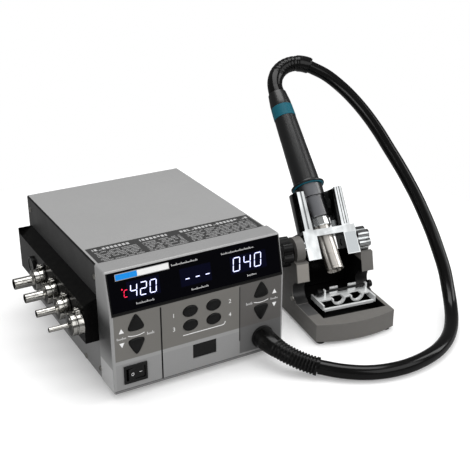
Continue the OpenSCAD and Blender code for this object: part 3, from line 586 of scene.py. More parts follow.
# %% Bare and plated metals
finish("tray_zinc", (176, 178, 178), (0.35, 0.5), (120, 0.05), metal=1.0, mottle=0.08)
finish("bare_aluminium", (190, 190, 192), (0.3, 0.45), metal=1.0, mottle=0.05)
finish("peg_steel", (120, 120, 118), (0.35, 0.5), metal=1.0)
finish("screw_steel", (186, 184, 178), (0.25, 0.4), metal=1.0, mottle=0.05)
finish("nozzle_steel", (226, 224, 218), (0.1, 0.24), (600, 0.03), metal=1.0, mottle=0.05,
       patch_scale=90.0)
finish("chrome", (216, 219, 220), (0.035, 0.09), (200, 0.006), metal=1.0, mottle=0.02)
finish("barrel_steel", (236, 231, 224), (0.2, 0.28), (900, 0.04), metal=0.6, mottle=0.06,
       patch_scale=60.0)

# %% [markdown]
# Polished metal shows the room, and a plain white studio would leave it blank. Its finish therefore darkens
# in bands: by the direction a face has on the part itself, with a slow wander along the part. The bands sit
# where a dim bench would be reflected, on the left faces and under the round parts.

# %% Room bands on polished metal
BANDS = ((0.0, 0.96), (0.19, 0.96), (0.26, 0.05), (0.37, 0.1), (0.42, 0.88), (0.49, 0.88),
         (0.56, 0.05), (0.76, 0.0), (0.80, 0.55), (0.84, 0.0), (0.93, 0.05), (1.0, 0.6))
BENCH_WAY = (0.375, -0.225, 0.24)
LONG_PATCHES = (120, 120, 14)
room_bands, takes = group("room bands", NUMBER, "Wander")
patches = vectors(room_bands, "MULTIPLY", takes["Vector"], LONG_PATCHES)
drift = noise(room_bands, patches, Scale=1.0, Detail=1.5)
wander = calc(room_bands, "MULTIPLY", calc(room_bands, "SUBTRACT", drift, 0.5), takes["Wander"])
facing = vectors(room_bands, "DOT_PRODUCT", coordinate(room_bands, "Normal"), BENCH_WAY)
spot_on_ramp = calc(room_bands, "ADD", calc(room_bands, "ADD", facing, 0.5), wander)
ramp = put(room_bands, "ShaderNodeValToRGB", spot_on_ramp)
stops = ramp.color_ramp.elements
for spot, dark in BANDS:
    stop = {0.0: stops[0], 1.0: stops[-1]}.get(spot) or stops.new(spot)
    stop.color = (dark, dark, dark, 1)
gives(room_bands, Dark=ramp.outputs[0])


def banded(name, wander, *shades):
    """Lays the room's dark bands over a polished finish."""
    tree = materials[name].node_tree
    bands = placed(tree, room_bands, coordinate(tree, "Object"), Wander=wander)
    recoloured(tree, bands["Dark"], *shades)


banded("nozzle_steel", 0.22, 46, 45, 42)
banded("chrome", 0.2, 24, 25, 26)
banded("barrel_steel", 0.04, 58, 53, 47)
print(len(materials), "finishes so far")

# %% [markdown]
# ## The hose and its boots
#
# The hose is a black rubber tube, 15 mm across and 0.58 m long in the open. It leaves the console through a
# ribbed boot, lies in front of the stand, rises beside it and comes over to the gun through a second boot.
# A curve keeps one thickness all along, and a smooth line can be laid through a few measured points. The
# hose is two tubes, the lower one near the console and the upper one near the gun.

# %% A smooth line through measured points
def smooth(points, steps):
    """A line that runs through each point without a corner."""
    ends = [points[0] * 2 - points[1], *points, points[-1] * 2 - points[-2]]
    line = []
    for p, q, r, s in zip(ends, ends[1:], ends[2:], ends[3:]):
        for i in range(steps):
            t = i / steps
            line.append(0.5 * (2 * q + (r - p) * t + (2 * p - 5 * q + 4 * r - s) * t ** 2
                               + (3 * q - p - 3 * r + s) * t ** 3))
    return [*line, points[-1]]


def length_of(line):
    return sum((b - a).length for a, b in zip(line, line[1:]))


def at_even_steps(line, spacing):
    """The same line with points at equal distances along it."""
    count = max(2, round(length_of(line) / spacing))
    step, points, walked, goal = length_of(line) / count, [line[0]], 0.0, 0.0
    for a, b in zip(line, line[1:]):
        span = (b - a).length
        while walked + span >= goal + step - 1e-9 and len(points) < count:
            goal += step
            points.append(a.lerp(b, (goal - walked) / span))
        walked += span
    return [*points, line[-1]]


def tube(name, line, radius, sides=10):
    """A round curve along the line, made a mesh. The radius may change from point to point."""
    data = bpy.data.curves.new(name, "CURVE")
    data.dimensions = "3D"
    data.bevel_depth = 1.0
    data.bevel_resolution = sides
    data.use_fill_caps = True
    spline = data.splines.new("POLY")
    spline.points.add(len(line) - 1)
    for i, (point, spot) in enumerate(zip(line, spline.points)):
        spot.co = (*point, 1)
        spot.radius = radius(i) if callable(radius) else radius
    take(shown(name, data))
    bpy.ops.object.convert(target="MESH")
    bpy.ops.object.shade_smooth_by_angle(angle=math.radians(50))
    return bpy.context.active_object


# %% The hose's course, in the console's millimetres
HOSE_R, STEPS = 7.5, 8
LIFT_OFF, SPLIT = 9, 17
hose_points = [Vector(point) for point in (
    (196, -59, 10.5), (213, -75, 9), (233, -88, 8), (254, -96, 8), (277, -99, 8), (300, -97, 8),
    (323, -91, 8), (345, -80, 8), (364, -66, 8.5), (380, -50, 11), (393, -33, 17), (402, -17, 28.5),
    (409, -1, 43.5), (413, 16, 60), (415, 32, 77), (416, 49, 94), (416, 65, 110), (415, 82, 126),
    (413, 99, 142), (410, 116, 158), (407, 133, 174), (402, 150, 190), (395, 166, 205),
    (386, 182, 219), (373, 197.5, 232.5), (356.8, 210, 242.2))]
hose_line = smooth(hose_points, STEPS)
lower_line = hose_line[:SPLIT * STEPS + 1]
upper_line = hose_line[SPLIT * STEPS:]

hose_lower = tube("hose_lower_tube", lower_line, HOSE_R)
hose_upper = tube("hose_upper_tube", upper_line, HOSE_R)
settle(hose_lower, "hose_rubber", "hose_lower", body=None)
settle(hose_upper, "hose_rubber", "hose_upper", body=None)
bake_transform(hose_lower)
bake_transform(hose_upper)
print(f"hose: {length_of(hose_line):.0f} mm in the open")

# %% [markdown]
# The console's boot starts as a smooth cone that fills the socket, and narrows to a row of ribs that let it
# bend without kinking. The tube's radius goes up and down along the line, in steps short enough to give
# each rib a flat top and a groove.

# %% Console boot
SOCKET = Vector((CASE_W - 25, -3, 25))
RIB_PITCH, RIB_DEPTH, CONE_L, BOOT_LIP = 3.4, 1.3, 21.0, 3
RIB_SHAPE = (0.0, 0.75, 1.0, 1.0, 0.75, 0.0)
bends = ((165.8, -14, 24.2), (169, -26, 22), (175, -37.5, 18.6), (184.5, -48.5, 14.2))
boot_points = [SOCKET, *(Vector(point) for point in bends), hose_points[0]]
boot_line = at_even_steps(smooth(boot_points, 24), RIB_PITCH / len(RIB_SHAPE))
boot_l = length_of(boot_line)


def console_boot_radius(i):
    along = i * boot_l / (len(boot_line) - 1)
    outer = 11.9 - 2.3 * min(1.0, along / (CONE_L + 8))
    if along < CONE_L or along > boot_l - BOOT_LIP:
        return outer
    return outer - RIB_DEPTH * (1 - RIB_SHAPE[i % 6])


console_boot = tube("console_boot_ribbed", boot_line, console_boot_radius, sides=12)
settle(console_boot, "hose_rubber", "console_boot")
print(f"console boot: {boot_l:.0f} mm long")

# %% [markdown]
# The gun's boot is an elbow. It leaves the handle straight, turns over in an even arc with a few shallow
# ribs, and ends in a plain band that grips the hose. The arc is worked out from its radius and its turn in
# the gun's own place, so it follows the gun wherever the stand holds it.

# %% Gun boot
BOOT_LOW, BOOT_LEAD, BOOT_BEND, BOOT_TURN = 197.5, 3.5, 35.5, 122
BAND_L, RIBS_L = 17, 52
bend_middle = Vector((BOOT_BEND, 0, BOOT_LOW + BOOT_LEAD))
elbow = [Vector((0, 0, BOOT_LOW - 8))]
elbow += [bend_middle + Matrix.Rotation(math.radians(a), 3, "Y") @ Vector((-BOOT_BEND, 0, 0))
          for a in range(0, BOOT_TURN + 1, 2)]
elbow = at_even_steps(elbow, 0.8)
elbow_l = length_of(elbow)


def gun_boot_radius(i):
    along = i * elbow_l / (len(elbow) - 1)
    left = elbow_l - along
    if left < BAND_L:
        return 9.9 if 1.0 < left < BAND_L - 0.8 else 9.4
    if left < RIBS_L:
        return 9.25 - 0.75 * (RIB_SHAPE[i % 6] < 0.5)
    return 9.0 + 1.0 * max(0.0, 1 - along / 16)


gun_boot = tube("gun_boot_elbow", elbow, gun_boot_radius, sides=12)
settle(gun_boot, "hose_rubber", "gun_boot", place=gun, body="gun")

# %% [markdown]
# ## The front bezel
#
# The bezel is one moulding: a deep skirt round the case, an upright panel for the controls, and above a
# crease a panel that leans back with the display. A moulding has one skin round its corners, so it isn't
# put together from plates: a box is cut at the crease and its top edge is pushed back. The long edges are
# rounded before the inside is taken out, which keeps the round away from the openings.

# %% Bezel body
SKIRT_D, WALL, FOOT_H = 32, 2.6, 6


def bezel_form(name, inset, rear):
    """The bezel's outside, or with an inset the room inside it."""
    body = block(name, (inset, inset, FOOT_H + inset), (CASE_W - inset, rear, CASE_TOP - inset))
    choose(body, everything, "VERT")
    bpy.ops.mesh.bisect(plane_co=(0, 0, CREASE_Z), plane_no=(0, 0, 1))
    done()
    choose(body, lambda v: v.co.y < inset + 0.1 and v.co.z > CREASE_Z + 1, "VERT")
    bpy.ops.transform.translate(value=(0, LEAN_BACK * (1 - inset / (CASE_TOP - CREASE_Z)), 0))
    done()
    return body


def moulded_edge(edge):
    at_rear = all(v.co.y > SKIRT_D - 0.1 for v in edge.verts)
    on_crease = all(abs(v.co.z - CREASE_Z) < 0.1 for v in edge.verts)
    return not (at_rear or on_crease)


bezel = bezel_form("bezel_shell", 0, SKIRT_D)
round_off(bezel, moulded_edge, 2.0, 5)
room = bezel_form("bezel_room", WALL, SKIRT_D + 5)

# %% [markdown]
# Each opening is its button's own outline with a little room round it. A triangle button is shaped like a
# plectrum: a point at the top, full sides and a gently curved base. Its outline is a smooth line through a
# handful of points, so the button and its opening share one shape.

# %% Button outlines
KEY_GAP = 0.4
TEMP_X, AIR_X, UP_Z, DOWN_Z = 25.5, CASE_W - 26.5, 71.3, 62.7
ARROW_W, ARROW_H = 16.5, 17.0
CHANNEL_X, CHANNEL_Z = (CASE_W / 2 - 12, CASE_W / 2 + 13.8), (76.5, 61)
CHANNEL_W, CHANNEL_H = 16, 12
SWITCH_X, SWITCH_Z = 22.8, 25.4
PORT_X, PORT_Z = CASE_W / 2 + 3.3, 29.8
PICK = ((0, 1.0), (0.13, 0.90), (0.33, 0.58), (0.475, 0.27), (0.47, 0.11), (0.36, 0.035), (0, -0.01))


def closed_line(points, steps):
    """A smooth closed line through the points."""
    around = [Vector(p) for p in points]
    count = len(around)
    line = smooth([around[-2], around[-1], *around, around[0], around[1]], steps)
    return line[2 * steps:(count + 2) * steps]


def pick_outline(at_x, at_z, up, y, grow=0.0):
    """A plectrum with its base on the given height, pointing up or down."""
    half = [(x * (ARROW_W + 2 * grow), z * (ARROW_H + 2 * grow) - grow) for x, z in PICK]
    round_it = half + [(-x, z) for x, z in reversed(half[1:-1])]
    line = closed_line([(x, 0, z) for x, z in round_it], 3)
    return [(at_x + p.x, y, at_z + up * p.z) for p in line]


def oval_outline(at_x, at_z, width, height, y, sides=40):
    return [(at_x + width / 2 * math.cos(2 * math.pi * i / sides), y,
             at_z + height / 2 * math.sin(2 * math.pi * i / sides)) for i in range(sides)]


# %% Openings in the bezel
CUT_Y, CUT_DEPTH = -2, 5


def opening(name, at_x, at_z, half_w, half_h):
    return block(name, (at_x - half_w, CUT_Y, at_z - half_h), (at_x + half_w, CUT_DEPTH, at_z + half_h))


window_cut = block("window_cut", (3.0, CUT_Y, 2.0), (CASE_W - 3.0, 1.55, SLOPE_L - 2.0))
digit_cuts = [block("digit_cut", (left, 1, 10), (right, 5, 32))
              for left, right in ((16, 58), (73, 115), (129, 173))]
for part in (window_cut, *digit_cuts):
    part.data.transform(console.inverted() @ slope)
through = (0, WALL + 3, 0)
picks = [plate("pick_cut", pick_outline(x, z, up, CUT_Y, KEY_GAP), through)
         for x in (TEMP_X, AIR_X) for z, up in ((UP_Z, 1), (DOWN_Z, -1))]
hole_w, hole_h = CHANNEL_W + 2 * KEY_GAP, CHANNEL_H + 2 * KEY_GAP
ovals = [plate("oval_cut", oval_outline(x, z, hole_w, hole_h, CUT_Y), through)
         for x in CHANNEL_X for z in CHANNEL_Z]
switch_cut = opening("switch_cut", SWITCH_X, SWITCH_Z, 10.9, 8.4)
port_cut = opening("port_cut", PORT_X, PORT_Z, 13.2, 7.9)
hose_cut = rod("hose_cut", 10.1, CUT_Y, CUT_DEPTH, at=(SOCKET.x, SOCKET.z), axis="y")
groove_left = block("groove_left", (51.0, -1, 9.5), (52.0, 0.9, 88.7))
groove_right = block("groove_right", (138.2, -1, 27), (138.8, 0.5, 88.7))
cut(bezel, room)
cut(bezel, window_cut, *digit_cuts, *picks, *ovals, switch_cut, port_cut, hose_cut,
    groove_left, groove_right)
rounded_shading(bezel, 30)

# %% [markdown]
# The bezel is silver-grey with a fine sparkle. The panel behind the buttons is printed darker, and darker
# again round the air buttons, partly by its print and partly as a painted shadow of the hose; below them
# the lower front is painted darker as the hose's shadow. Those edges are crisp, so they are boxes in the
# material and not shapes in the mesh. The side carries painted shade, darkest in its middle, which the rack
# shades, and painted light from the floor along its bottom.

# %% Bezel finish
SPLIT_X, PANEL_LOW, SIDE_RIGHT = 138.5, 42, CASE_W - 2.6
tree = finish("bezel_grey", 158, (0.3, 0.42), (1500, 0.08), mottle=0.07, metal=0.25)
point = measured(tree, console)
# The panel's print; right of it print with a painted shadow of the hose, and below that the shadow alone.
zones(tree, point, ((3.0, -2, PANEL_LOW), (SPLIT_X, 2.0, CREASE_Z), 119, 117, 113),
      ((SPLIT_X, -2, PANEL_LOW), (SIDE_RIGHT, 2.0, CREASE_Z), 97, 95, 93),
      ((SPLIT_X, -2, 12), (SIDE_RIGHT, 0.3, PANEL_LOW), 104))
zones(tree, measured(tree, slope), ((1.6, -1.5, -1.0), (CASE_W - 1.6, 1.2, SLOPE_L - 1.6), 5))
zones(tree, point, ((3, -2, 9.9), (SPLIT_X, 0.3, 38), 150),
      ((50.7, -2, 9.4), (52.3, 2.5, 88.8), 24), ((137.9, -2, 26.8), (139.1, 2.5, 88.8), 58),
      ((-1, -2, 4), (CASE_W + 1, 0.3, 9.3), 124), ((-1, -2, 9.3), (CASE_W + 1, 0.3, 9.9), 64))
rise = parted(tree, point)["Z"]
into_shade = ranged(tree, rise, 30, 64, kind="SMOOTHSTEP")
out_of_shade = ranged(tree, rise, 104, 74, kind="SMOOTHSTEP")
beside = zone(tree, point, (-1, 1.5, 0), (0.25, SKIRT_D + 1, CASE_TOP))
shade = calc(tree, "MULTIPLY", calc(tree, "MULTIPLY", into_shade, out_of_shade), beside)
recoloured(tree, shade, 72)
# Painted light from the floor along the bottom of the side.
zones(tree, point, ((-1, 1.5, 0), (0.25, SKIRT_D + 1, 34), 196))
settle(bezel, "bezel_grey", "front_bezel")
print("bezel:", len(bezel.data.polygons), "faces")

# %% [markdown]
# ## The display
#
# Behind a smoked window three groups of figures are lit. The window is one sheet of black acrylic with a
# polished edge. A figure is seven thin bars, so each lit bar is a flat outline with pointed ends. They lie a
# hair above the window, lean a little and glow, and a dim pane shows behind each group.

# %% Window and glowing finishes
window = block("display_pane", (3.1, 0, 2.1), (CASE_W - 3.1, 1.5, SLOPE_L - 2.1))
soften(window, 0.25, segments=2)
finish("display_glass", (5, 5, 8), (0.05, 0.09), (60, 0.004), mottle=0.0, specular=0.05)
settle(window, "display_glass", "display_window", place=slope)
finish("figure_light", (206, 210, 255), (0.3, 0.4), mottle=0.05, glow=1.0)
finish("figure_red", (230, 20, 70), (0.3, 0.4), mottle=0.05, glow=0.75)
finish("figure_pane", (8, 9, 26), (0.1, 0.2), mottle=0.1, specular=0.05)

# %% Figures
BARS = {"0": "abcdef", "2": "abged", "4": "fgbc", "-": "g"}
BAR_MIDDLES = {"a": (0, 1), "g": (0, 0.5), "d": (0, 0), "f": (-0.5, 0.75), "b": (0.5, 0.75),
               "e": (-0.5, 0.25), "c": (0.5, 0.25)}
FIGURE_LEAN, FIGURE_Y, FIGURE_THICK = 0.13, -0.06, (0, 0.05, 0)


def bar(letter, left, base, width, height, thick=0.95):
    """One bar of a figure, by its letter, on the window's face."""
    across, high = BAR_MIDDLES[letter]
    x, z, t, flat = across * width, high * height, thick / 2, letter in "agd"
    reach = (width if flat else height / 2) / 2 - 0.25
    ends = ((-reach, 0), (-reach + t, t), (reach - t, t), (reach, 0), (reach - t, -t), (-reach + t, -t))
    points = [(x + (u if flat else v), z + (v if flat else u)) for u, v in ends]
    outline = [(left + px + FIGURE_LEAN * pz, FIGURE_Y, base + pz) for px, pz in points]
    return plate("bar", outline, FIGURE_THICK)


for name, text, first_x, pitch, base, width, height in (
        ("figures_temperature", "420", 26.2, 10.0, 14.0, 6.2, 12.0),
        ("figures_actual", "---", 82.3, 10.9, 12.6, 5.2, 12.0),
        ("figures_air", "040", 136.6, 12.1, 14.2, 7.2, 13.4)):
    bars = [bar(letter, first_x + i * pitch, base, width, height)
            for i, sign in enumerate(text) for letter in BARS[sign]]
    settle(joined(name, *bars), "figure_light", slot="digit_black", place=slope)

# %% Degree sign and the dim panes behind the figures
bars = [bar(letter, 18.6, 15.6, 3.6, 6.6, 0.8) for letter in "afed"]
bars.append(plate("bar", oval_outline(15.6, 23.3, 1.5, 1.5, FIGURE_Y, 12), FIGURE_THICK))
settle(joined("figures_degree", *bars), "figure_red", slot="digit_black", place=slope)
panes = [block("pane", (x, -0.02, 11.6), (x + w, 0.02, 29.5))
         for x, w in ((20.5, 33.5), (75.5, 33.5), (130.5, 41.0))]
panes = soften(joined("figure_panes", *panes), 0.008, segments=1)
settle(panes, "figure_pane", slot="digit_black", place=slope)

# %% [markdown]
# A small two-coloured badge is stuck on the window above the figures. It stays blank: a blue and a white
# field in a light frame, each a thin plate with a soft edge. The rest of the print is generic too, short
# rows of scale ticks where a legend would stand.

# %% Badge and tick rows
finish("badge_blue", (0, 138, 226), (0.25, 0.35), (400, 0.02), mottle=0.05)
finish("print_white", 232, (0.45, 0.55), (900, 0.05), mottle=0.04)
finish("print_grey", 150, (0.45, 0.55), (900, 0.05), mottle=0.08)
TICK_W, TICK_Y, SHORT_TICK = 0.42, -0.05, 0.55
for name, x0, x1, z0, z1, y, shade in (
        ("badge_frame", 10.2, 65.6, 32.3, 38.9, -0.10, "print_grey"),
        ("badge_left", 10.8, 32.6, 32.9, 38.3, -0.14, "badge_blue"),
        ("badge_right", 32.6, 65.0, 32.9, 38.3, -0.14, "print_white")):
    field = soften(block(name, (x0, y, z0), (x1, y + 0.1, z1)), 0.03, segments=2)
    settle(field, shade, slot="display_glass", place=slope)


def tick_rows(place, slot, *rows):
    """Rows of small scale ticks, every fifth one longer."""
    for name, x0, x1, z, pitch, high in rows:
        ticks = []
        for i in range(int((x1 - x0) / pitch) + 1):
            x, top = x0 + i * pitch, z + (high if i % 5 == 0 else high * SHORT_TICK)
            ticks.append(block("tick", (x, TICK_Y, z), (x + TICK_W, TICK_Y + 0.05, top)))
        settle(joined(name, *ticks), "print_white", slot=slot, place=place)


tick_rows(slope, "display_glass", ("ticks_badge", 68, 96, 34.2, 1.05, 2.0),
          ("ticks_temperature", 28, 46, 6.2, 1.1, 2.0), ("ticks_actual", 86, 104, 6.2, 1.1, 2.0),
          ("ticks_air", 148, 158, 6.2, 1.1, 2.0), ("ticks_flow", 122, 158, 33.6, 1.05, 2.0))
print("display dressed:", len(settled), "pieces so far")

# %% [markdown]
# ## Buttons
#
# The buttons are glossy black and slightly domed, with a dark gap round each. Each is its own outline drawn
# out to a plug, whose front face is then pushed forward and narrowed a few times, which gives the dome.
# Each rides on its own body, because each has its own travel.

# %% Domed buttons
KEY_BACK, KEY_FRONT = 5.5, -0.25
DOME = ((0.95, 0.4), (0.9, 0.34), (0.78, 0.3), (0.6, 0.16), (0.4, 0.06))


def button(key, outline):
    cap = plate(f"{key}_cap", outline, (0, KEY_BACK, 0))
    front = min(v.co.y for v in cap.data.vertices) + 0.01
    middle = sum((Vector(corner) for corner in outline), Vector()) / len(outline)
    choose(cap, lambda f: f.calc_center_median().y < front)
    for shrink, rise in DOME:
        drawn_out((0, -rise, 0))
        bpy.ops.transform.resize(value=(shrink, 1, shrink), center_override=middle)
    done()
    settle(rounded_shading(cap, 50), "button_black", f"{key}_button", body=key)


for x, kind in ((TEMP_X, "temp"), (AIR_X, "air")):
    for z, up, way in ((UP_Z, 1, "up"), (DOWN_Z, -1, "down")):
        button(f"{kind}_{way}", pick_outline(x, z, up, KEY_FRONT))
for number, (x, z) in enumerate(((x, z) for z in CHANNEL_Z for x in CHANNEL_X), start=1):
    button(f"channel_{number}", oval_outline(x, z, CHANNEL_W, CHANNEL_H, KEY_FRONT))

# %% [markdown]
# The signs are printed in white: small triangles for more and less, and the numbers 1 to 4 for the
# channels, each set as text, made a mesh and laid flat on the panel. Thin pale lines frame the channel
# group and part each pair of triangle buttons.

# %% Printed signs
SIGN_SIZE, SIGN_Y = 6.2, -0.06


def printed(piece):
    settle(piece, "print_white", slot="bezel_grey")


for kind, x in (("temp", 10.4), ("air", 179.2)):
    for way, z, up in (("more", 71.6, 5.0), ("less", 61.2, -5.0)):
        corners = [(x - 2.6, -0.07, z), (x + 2.6, -0.07, z), (x, -0.07, z + up)]
        printed(plate(f"sign_{kind}_{way}", corners, (0, 0.06, 0)))
for number, x, z in ((1, 65.0, 75.6), (2, 127.2, 75.6), (3, 65.0, 60.6), (4, 127.2, 60.6)):
    put_down()
    bpy.ops.object.text_add(location=(0, 0, 0))
    text = bpy.context.active_object.data
    text.body = str(number)
    text.size = SIGN_SIZE
    text.extrude = 0.03
    text.align_x, text.align_y = "CENTER", "CENTER"
    bpy.ops.object.convert(target="MESH")
    sign = newest(f"sign_channel_{number}")
    sign.data.transform(shift(x, SIGN_Y, z) @ turn(QUARTER, "X"))
    printed(sign)
tick_rows(console, "bezel_grey", ("ticks_temp_key", 5.6, 15.2, 65.0, 1.1, 2.4),
          ("ticks_temp_sign", 36.8, 44.4, 63.2, 1.1, 3.0), ("ticks_air_sign", 146.0, 153.6, 65.6, 1.1, 3.0),
          ("ticks_air_key", 175.0, 183.2, 65.0, 1.1, 2.4))

# %% Thin lines round the keys
def printed_line(name, points, width):
    """A thin raised line on the panel: a tube pressed nearly flat."""
    ribbon = tube(name, [Vector((x, -0.02, z)) for x, z in points], width / 2, sides=3)
    ribbon.data.transform(shift(0, -0.02, 0) @ Matrix.Scale(0.12, 4, (0, 1, 0)))
    printed(ribbon)


printed_line("line_channels", [(74.6, 51.2), (118, 51.2), (120, 51.6), (121.3, 52.8), (121.8, 54.6)], 0.9)
for kind, x in (("temp", TEMP_X), ("air", AIR_X)):
    arc = [(x + 8.6 * t, 66.9 - 1.5 * (1 - t * t)) for t in (i / 4 for i in range(-4, 5))]
    printed_line(f"line_{kind}", arc, 0.8)
print("buttons and print:", len(settled), "pieces so far")

# %% [markdown]
# ## The cover
#
# The cover is one sheet of steel bent over the case. It is modelled as a surface first: a box loses its
# bottom and its ends, its two long folds get their bend radius, and a Solidify modifier gives it its
# thickness towards the inside. The cooling slots are cut afterwards, as a punch would.

# %% Cover sheet
INSET, SHEET, FOLD_R = 1.5, 1.2, 1.6
COVER_TOP = CASE_TOP - INSET
SLOTS, SLOT_PITCH, SLOT_R = 10, 12, 1.9


def fold(edge):
    a, b = (v.co for v in edge.verts)
    return min(a.z, b.z) > COVER_TOP - 0.1 and abs(a.x - b.x) < 1


cover = block("cover_sheet", (INSET, SKIRT_D, FOOT_H), (CASE_W - INSET, CASE_D, COVER_TOP))
choose(cover, lambda f: f.normal.z < -0.9 or abs(f.normal.y) > 0.9)
bpy.ops.mesh.delete(type="FACE")
done()
round_off(cover, fold, FOLD_R, 5)
apply(cover, "SOLIDIFY", thickness=SHEET, offset=-1, use_even_offset=True)
vent = block("vent", (CASE_W - 6, 90, 44), (CASE_W + 4, 94, 84))
round_off(vent, lambda e: abs(middle_of(e).y - 92) > 1.5 and abs(middle_of(e).z - 64) > 19, SLOT_R, 4)
cut(cover, *(copied(vent, shift(0, SLOT_PITCH * i, 0)) for i in range(1, SLOTS)), vent)
rounded_shading(cover, 30)

# %% [markdown]
# Its top is a light grey textured paint, and its sides the same paint with painted shade, darker. Lower down
# the left side is painted lighter, as light from the floor, and along its fold a painted dark reflection reads
# as a thin dark line. A face's own direction in object space tells the side from the top, and stays put
# however the model is lit.

# %% Cover finish
tree = finish("cover_paint", 150, (0.42, 0.55), (1300, 0.16), mottle=0.06, dusty=0.05, specular=0.35)
# Painted shade: faces turned sideways are coloured darker than the top.
across = calc(tree, "ABSOLUTE", parted(tree, coordinate(tree, "Normal"))["X"])
recoloured(tree, calc(tree, "GREATER_THAN", across, 0.25), 56)
point = measured(tree, console)
# Painted light from the floor low on the left side, and a painted dark reflection along its fold.
zones(tree, point, ((-1, 30, 0), (3.2, 242, 49), 124),
      ((-1, 30, COVER_TOP - 2.0), (3.2, 242, COVER_TOP - 0.12), 20))
settle(cover, "cover_paint", "case_cover")

# %% [markdown]
# A dark label strip runs along the front of the top, as a thin printed film. Its print is left generic: a
# row of large pale blocks behind, and rows of small dashes in front, drawn in the film's material. One wave
# gives the rows, another the letters' pitch, and a noise breaks them into words of different lengths.

# %% Label strip
strip = block("label_strip", (5, 33.0, COVER_TOP), (CASE_W - 4, 70, COVER_TOP + 0.14))
soften(strip, 0.05, segments=1)
tree = finish("label_film", 58, skin=(700, 0.06), mottle=0.08, specular=0.3)
point = measured(tree, console)
spots = parted(tree, point)
ROW_PITCH, LETTER_PITCH, BLOCK_PITCH = 3.3, 1.7, 4.2


def wave(along, pitch, level):
    """1 where a wave of that pitch in millimetres stands above the level."""
    turns = calc(tree, "MULTIPLY", spots[along], 2 * math.pi / pitch)
    return calc(tree, "GREATER_THAN", calc(tree, "SINE", turns), level)


def words(scale, level):
    """1 where a noise, a fresh one in each row, stands above the level."""
    cell = vectors(tree, "SNAP", point, (0.1, ROW_PITCH, 1000))
    stretched = vectors(tree, "MULTIPLY", cell, (scale, 0.77, 0))
    return calc(tree, "GREATER_THAN", noise(tree, stretched, Scale=1.0, Detail=0.0), level)


def columns(low_y, high_y, *spans):
    """1 inside any of the spans."""
    mask, *others = [zone(tree, point, (left, low_y, 120), (right, high_y, 140)) for left, right in spans]
    for other in others:
        mask = calc(tree, "MAXIMUM", mask, other)
    return mask


def all_of(mask, *others):
    for other in others:
        mask = calc(tree, "MULTIPLY", mask, other)
    return mask


small = all_of(wave("Y", ROW_PITCH, -0.1), wave("X", LETTER_PITCH, -0.6), words(0.24, 0.42),
               columns(36, 59, (10, 54), (60, 101), (107, 181)), 0.55)
large = all_of(wave("X", BLOCK_PITCH, -0.55), words(0.09, 0.36),
               columns(61.5, 66, (10, 50), (60, 90), (104, 184)), 0.8)
recoloured(tree, calc(tree, "MAXIMUM", small, large), 196)
settle(strip, "label_film", slot="cover_paint")
print("cover and strip:", len(cover.data.polygons), "faces")

# %% [markdown]
# ## Pieces that keep their CAD shape
#
# Many smaller pieces are right in the CAD frame already: a bracket, a round foot, a socket. Their meshes
# are loose triangles, so a copy is merged, its flat faces are joined again, and its edges get the small
# round that light catches on.

# %% Dressed copies of CAD pieces
body_of = {node: body for body, nodes in frame["record"]["behaviour"]["bodies"].items() for node in nodes}


def from_cad(node, local):
    """A merged copy of a CAD node, in the millimetres of a local frame."""
    twin = shown(f"{node}_dressed", frame["nodes"][node].data.copy())
    twin.data.name = twin.name
    twin.data.transform(local.inverted())
    choose(twin, everything)
    bpy.ops.mesh.remove_doubles(threshold=0.01)
    bpy.ops.mesh.dissolve_limited(angle_limit=math.radians(2))
    done()
    return twin


def dressed(node, width, local=console, finish_name=None, segments=2, smooth=40):
    """The copy with softened edges, on the node's own body."""
    twin = from_cad(node, local)
    if width:
        soften(twin, width, segments, smooth=smooth)
    else:
        rounded_shading(twin, smooth)
    settle(twin, finish_name or slot_of[node], node, place=local, body=body_of[node])


EDGES = {"chassis_tray": 0, "rear_panel": 0.25, "case_feet": 0.8, "hose_socket": 0.5, "port_cover": 0.35,
         "switch_frame": 0.4, "switch_rocker": 0.6, "mains_inlet": 0.4, "nozzle_rack": 0.35}
for node, width in EDGES.items():
    dressed(node, width)
print(len(EDGES), "pieces of the case dressed")

# %% [markdown]
# ## Case screws and switch marks
#
# Nine pan-head screws hold the cover. One is turned on the lathe with a domed head, gets a cross recess
# from two crossed blades, and is copied to the other places. The rocker switch carries the usual O and a
# bar, moulded in white.

# %% Case screws
head = turned("screw_head", [(0, 0), (0, 2.8), (0.55, 2.8), (1.0, 2.35), (1.35, 1.4), (1.45, 0)], sides=24)
blades = [block("blade", (-x, -y, 0.8), (x, y, 2)) for x, y in ((1.7, 0.28), (0.28, 1.7))]
cut(head, *blades)
rounded_shading(head, 35)
places = [shift(x, y, z) @ turn(way * QUARTER, "Y")
          for y in (SKIRT_D + 6, CASE_D - 8) for z in (FOOT_H + 10, CASE_TOP - 16)
          for x, way in ((INSET, -1), (CASE_W - INSET, 1))]
places.append(shift(INSET, 78, FOOT_H + 3.4) @ turn(-QUARTER, "Y"))
screws = repeated(head, "case_screw_heads", places)
settle(screws, "screw_steel", "case_screws")

# %% Switch marks
ROCKER_TURN, ROCKER_HALF, ROCKER_REACH = math.radians(8), 8.9, 6.0
MARK_LOW, MARK_HIGH, RING_IN, RING_OUT = -0.05, 0.06, 1.15, 1.6
rocker = console @ shift(SWITCH_X, 4.2, SWITCH_Z) @ turn(ROCKER_TURN, "Z")
fall = math.atan2(1, ROCKER_HALF)


def mark(piece, side):
    """Lays the mark on the middle of one half of the rocker's face."""
    face = (rocker @ shift(side * ROCKER_HALF / 2, 0.5 - ROCKER_REACH, 0)
            @ turn(side * -fall, "Z") @ turn(QUARTER, "X"))
    settle(piece, "print_white", slot=slot_of["switch_rocker"], place=face, body=body_of["switch_rocker"])


ring = [(MARK_LOW, RING_IN), (MARK_HIGH, RING_IN), (MARK_HIGH, RING_OUT), (MARK_LOW, RING_OUT)]
ring.append(ring[0])
mark(turned("mark_off", ring, sides=32), -1)
mark(block("mark_on", (-1.5, -0.22, MARK_LOW), (1.5, 0.22, MARK_HIGH)), 1)
print(len(places), "screws turned, switch marked on both halves")

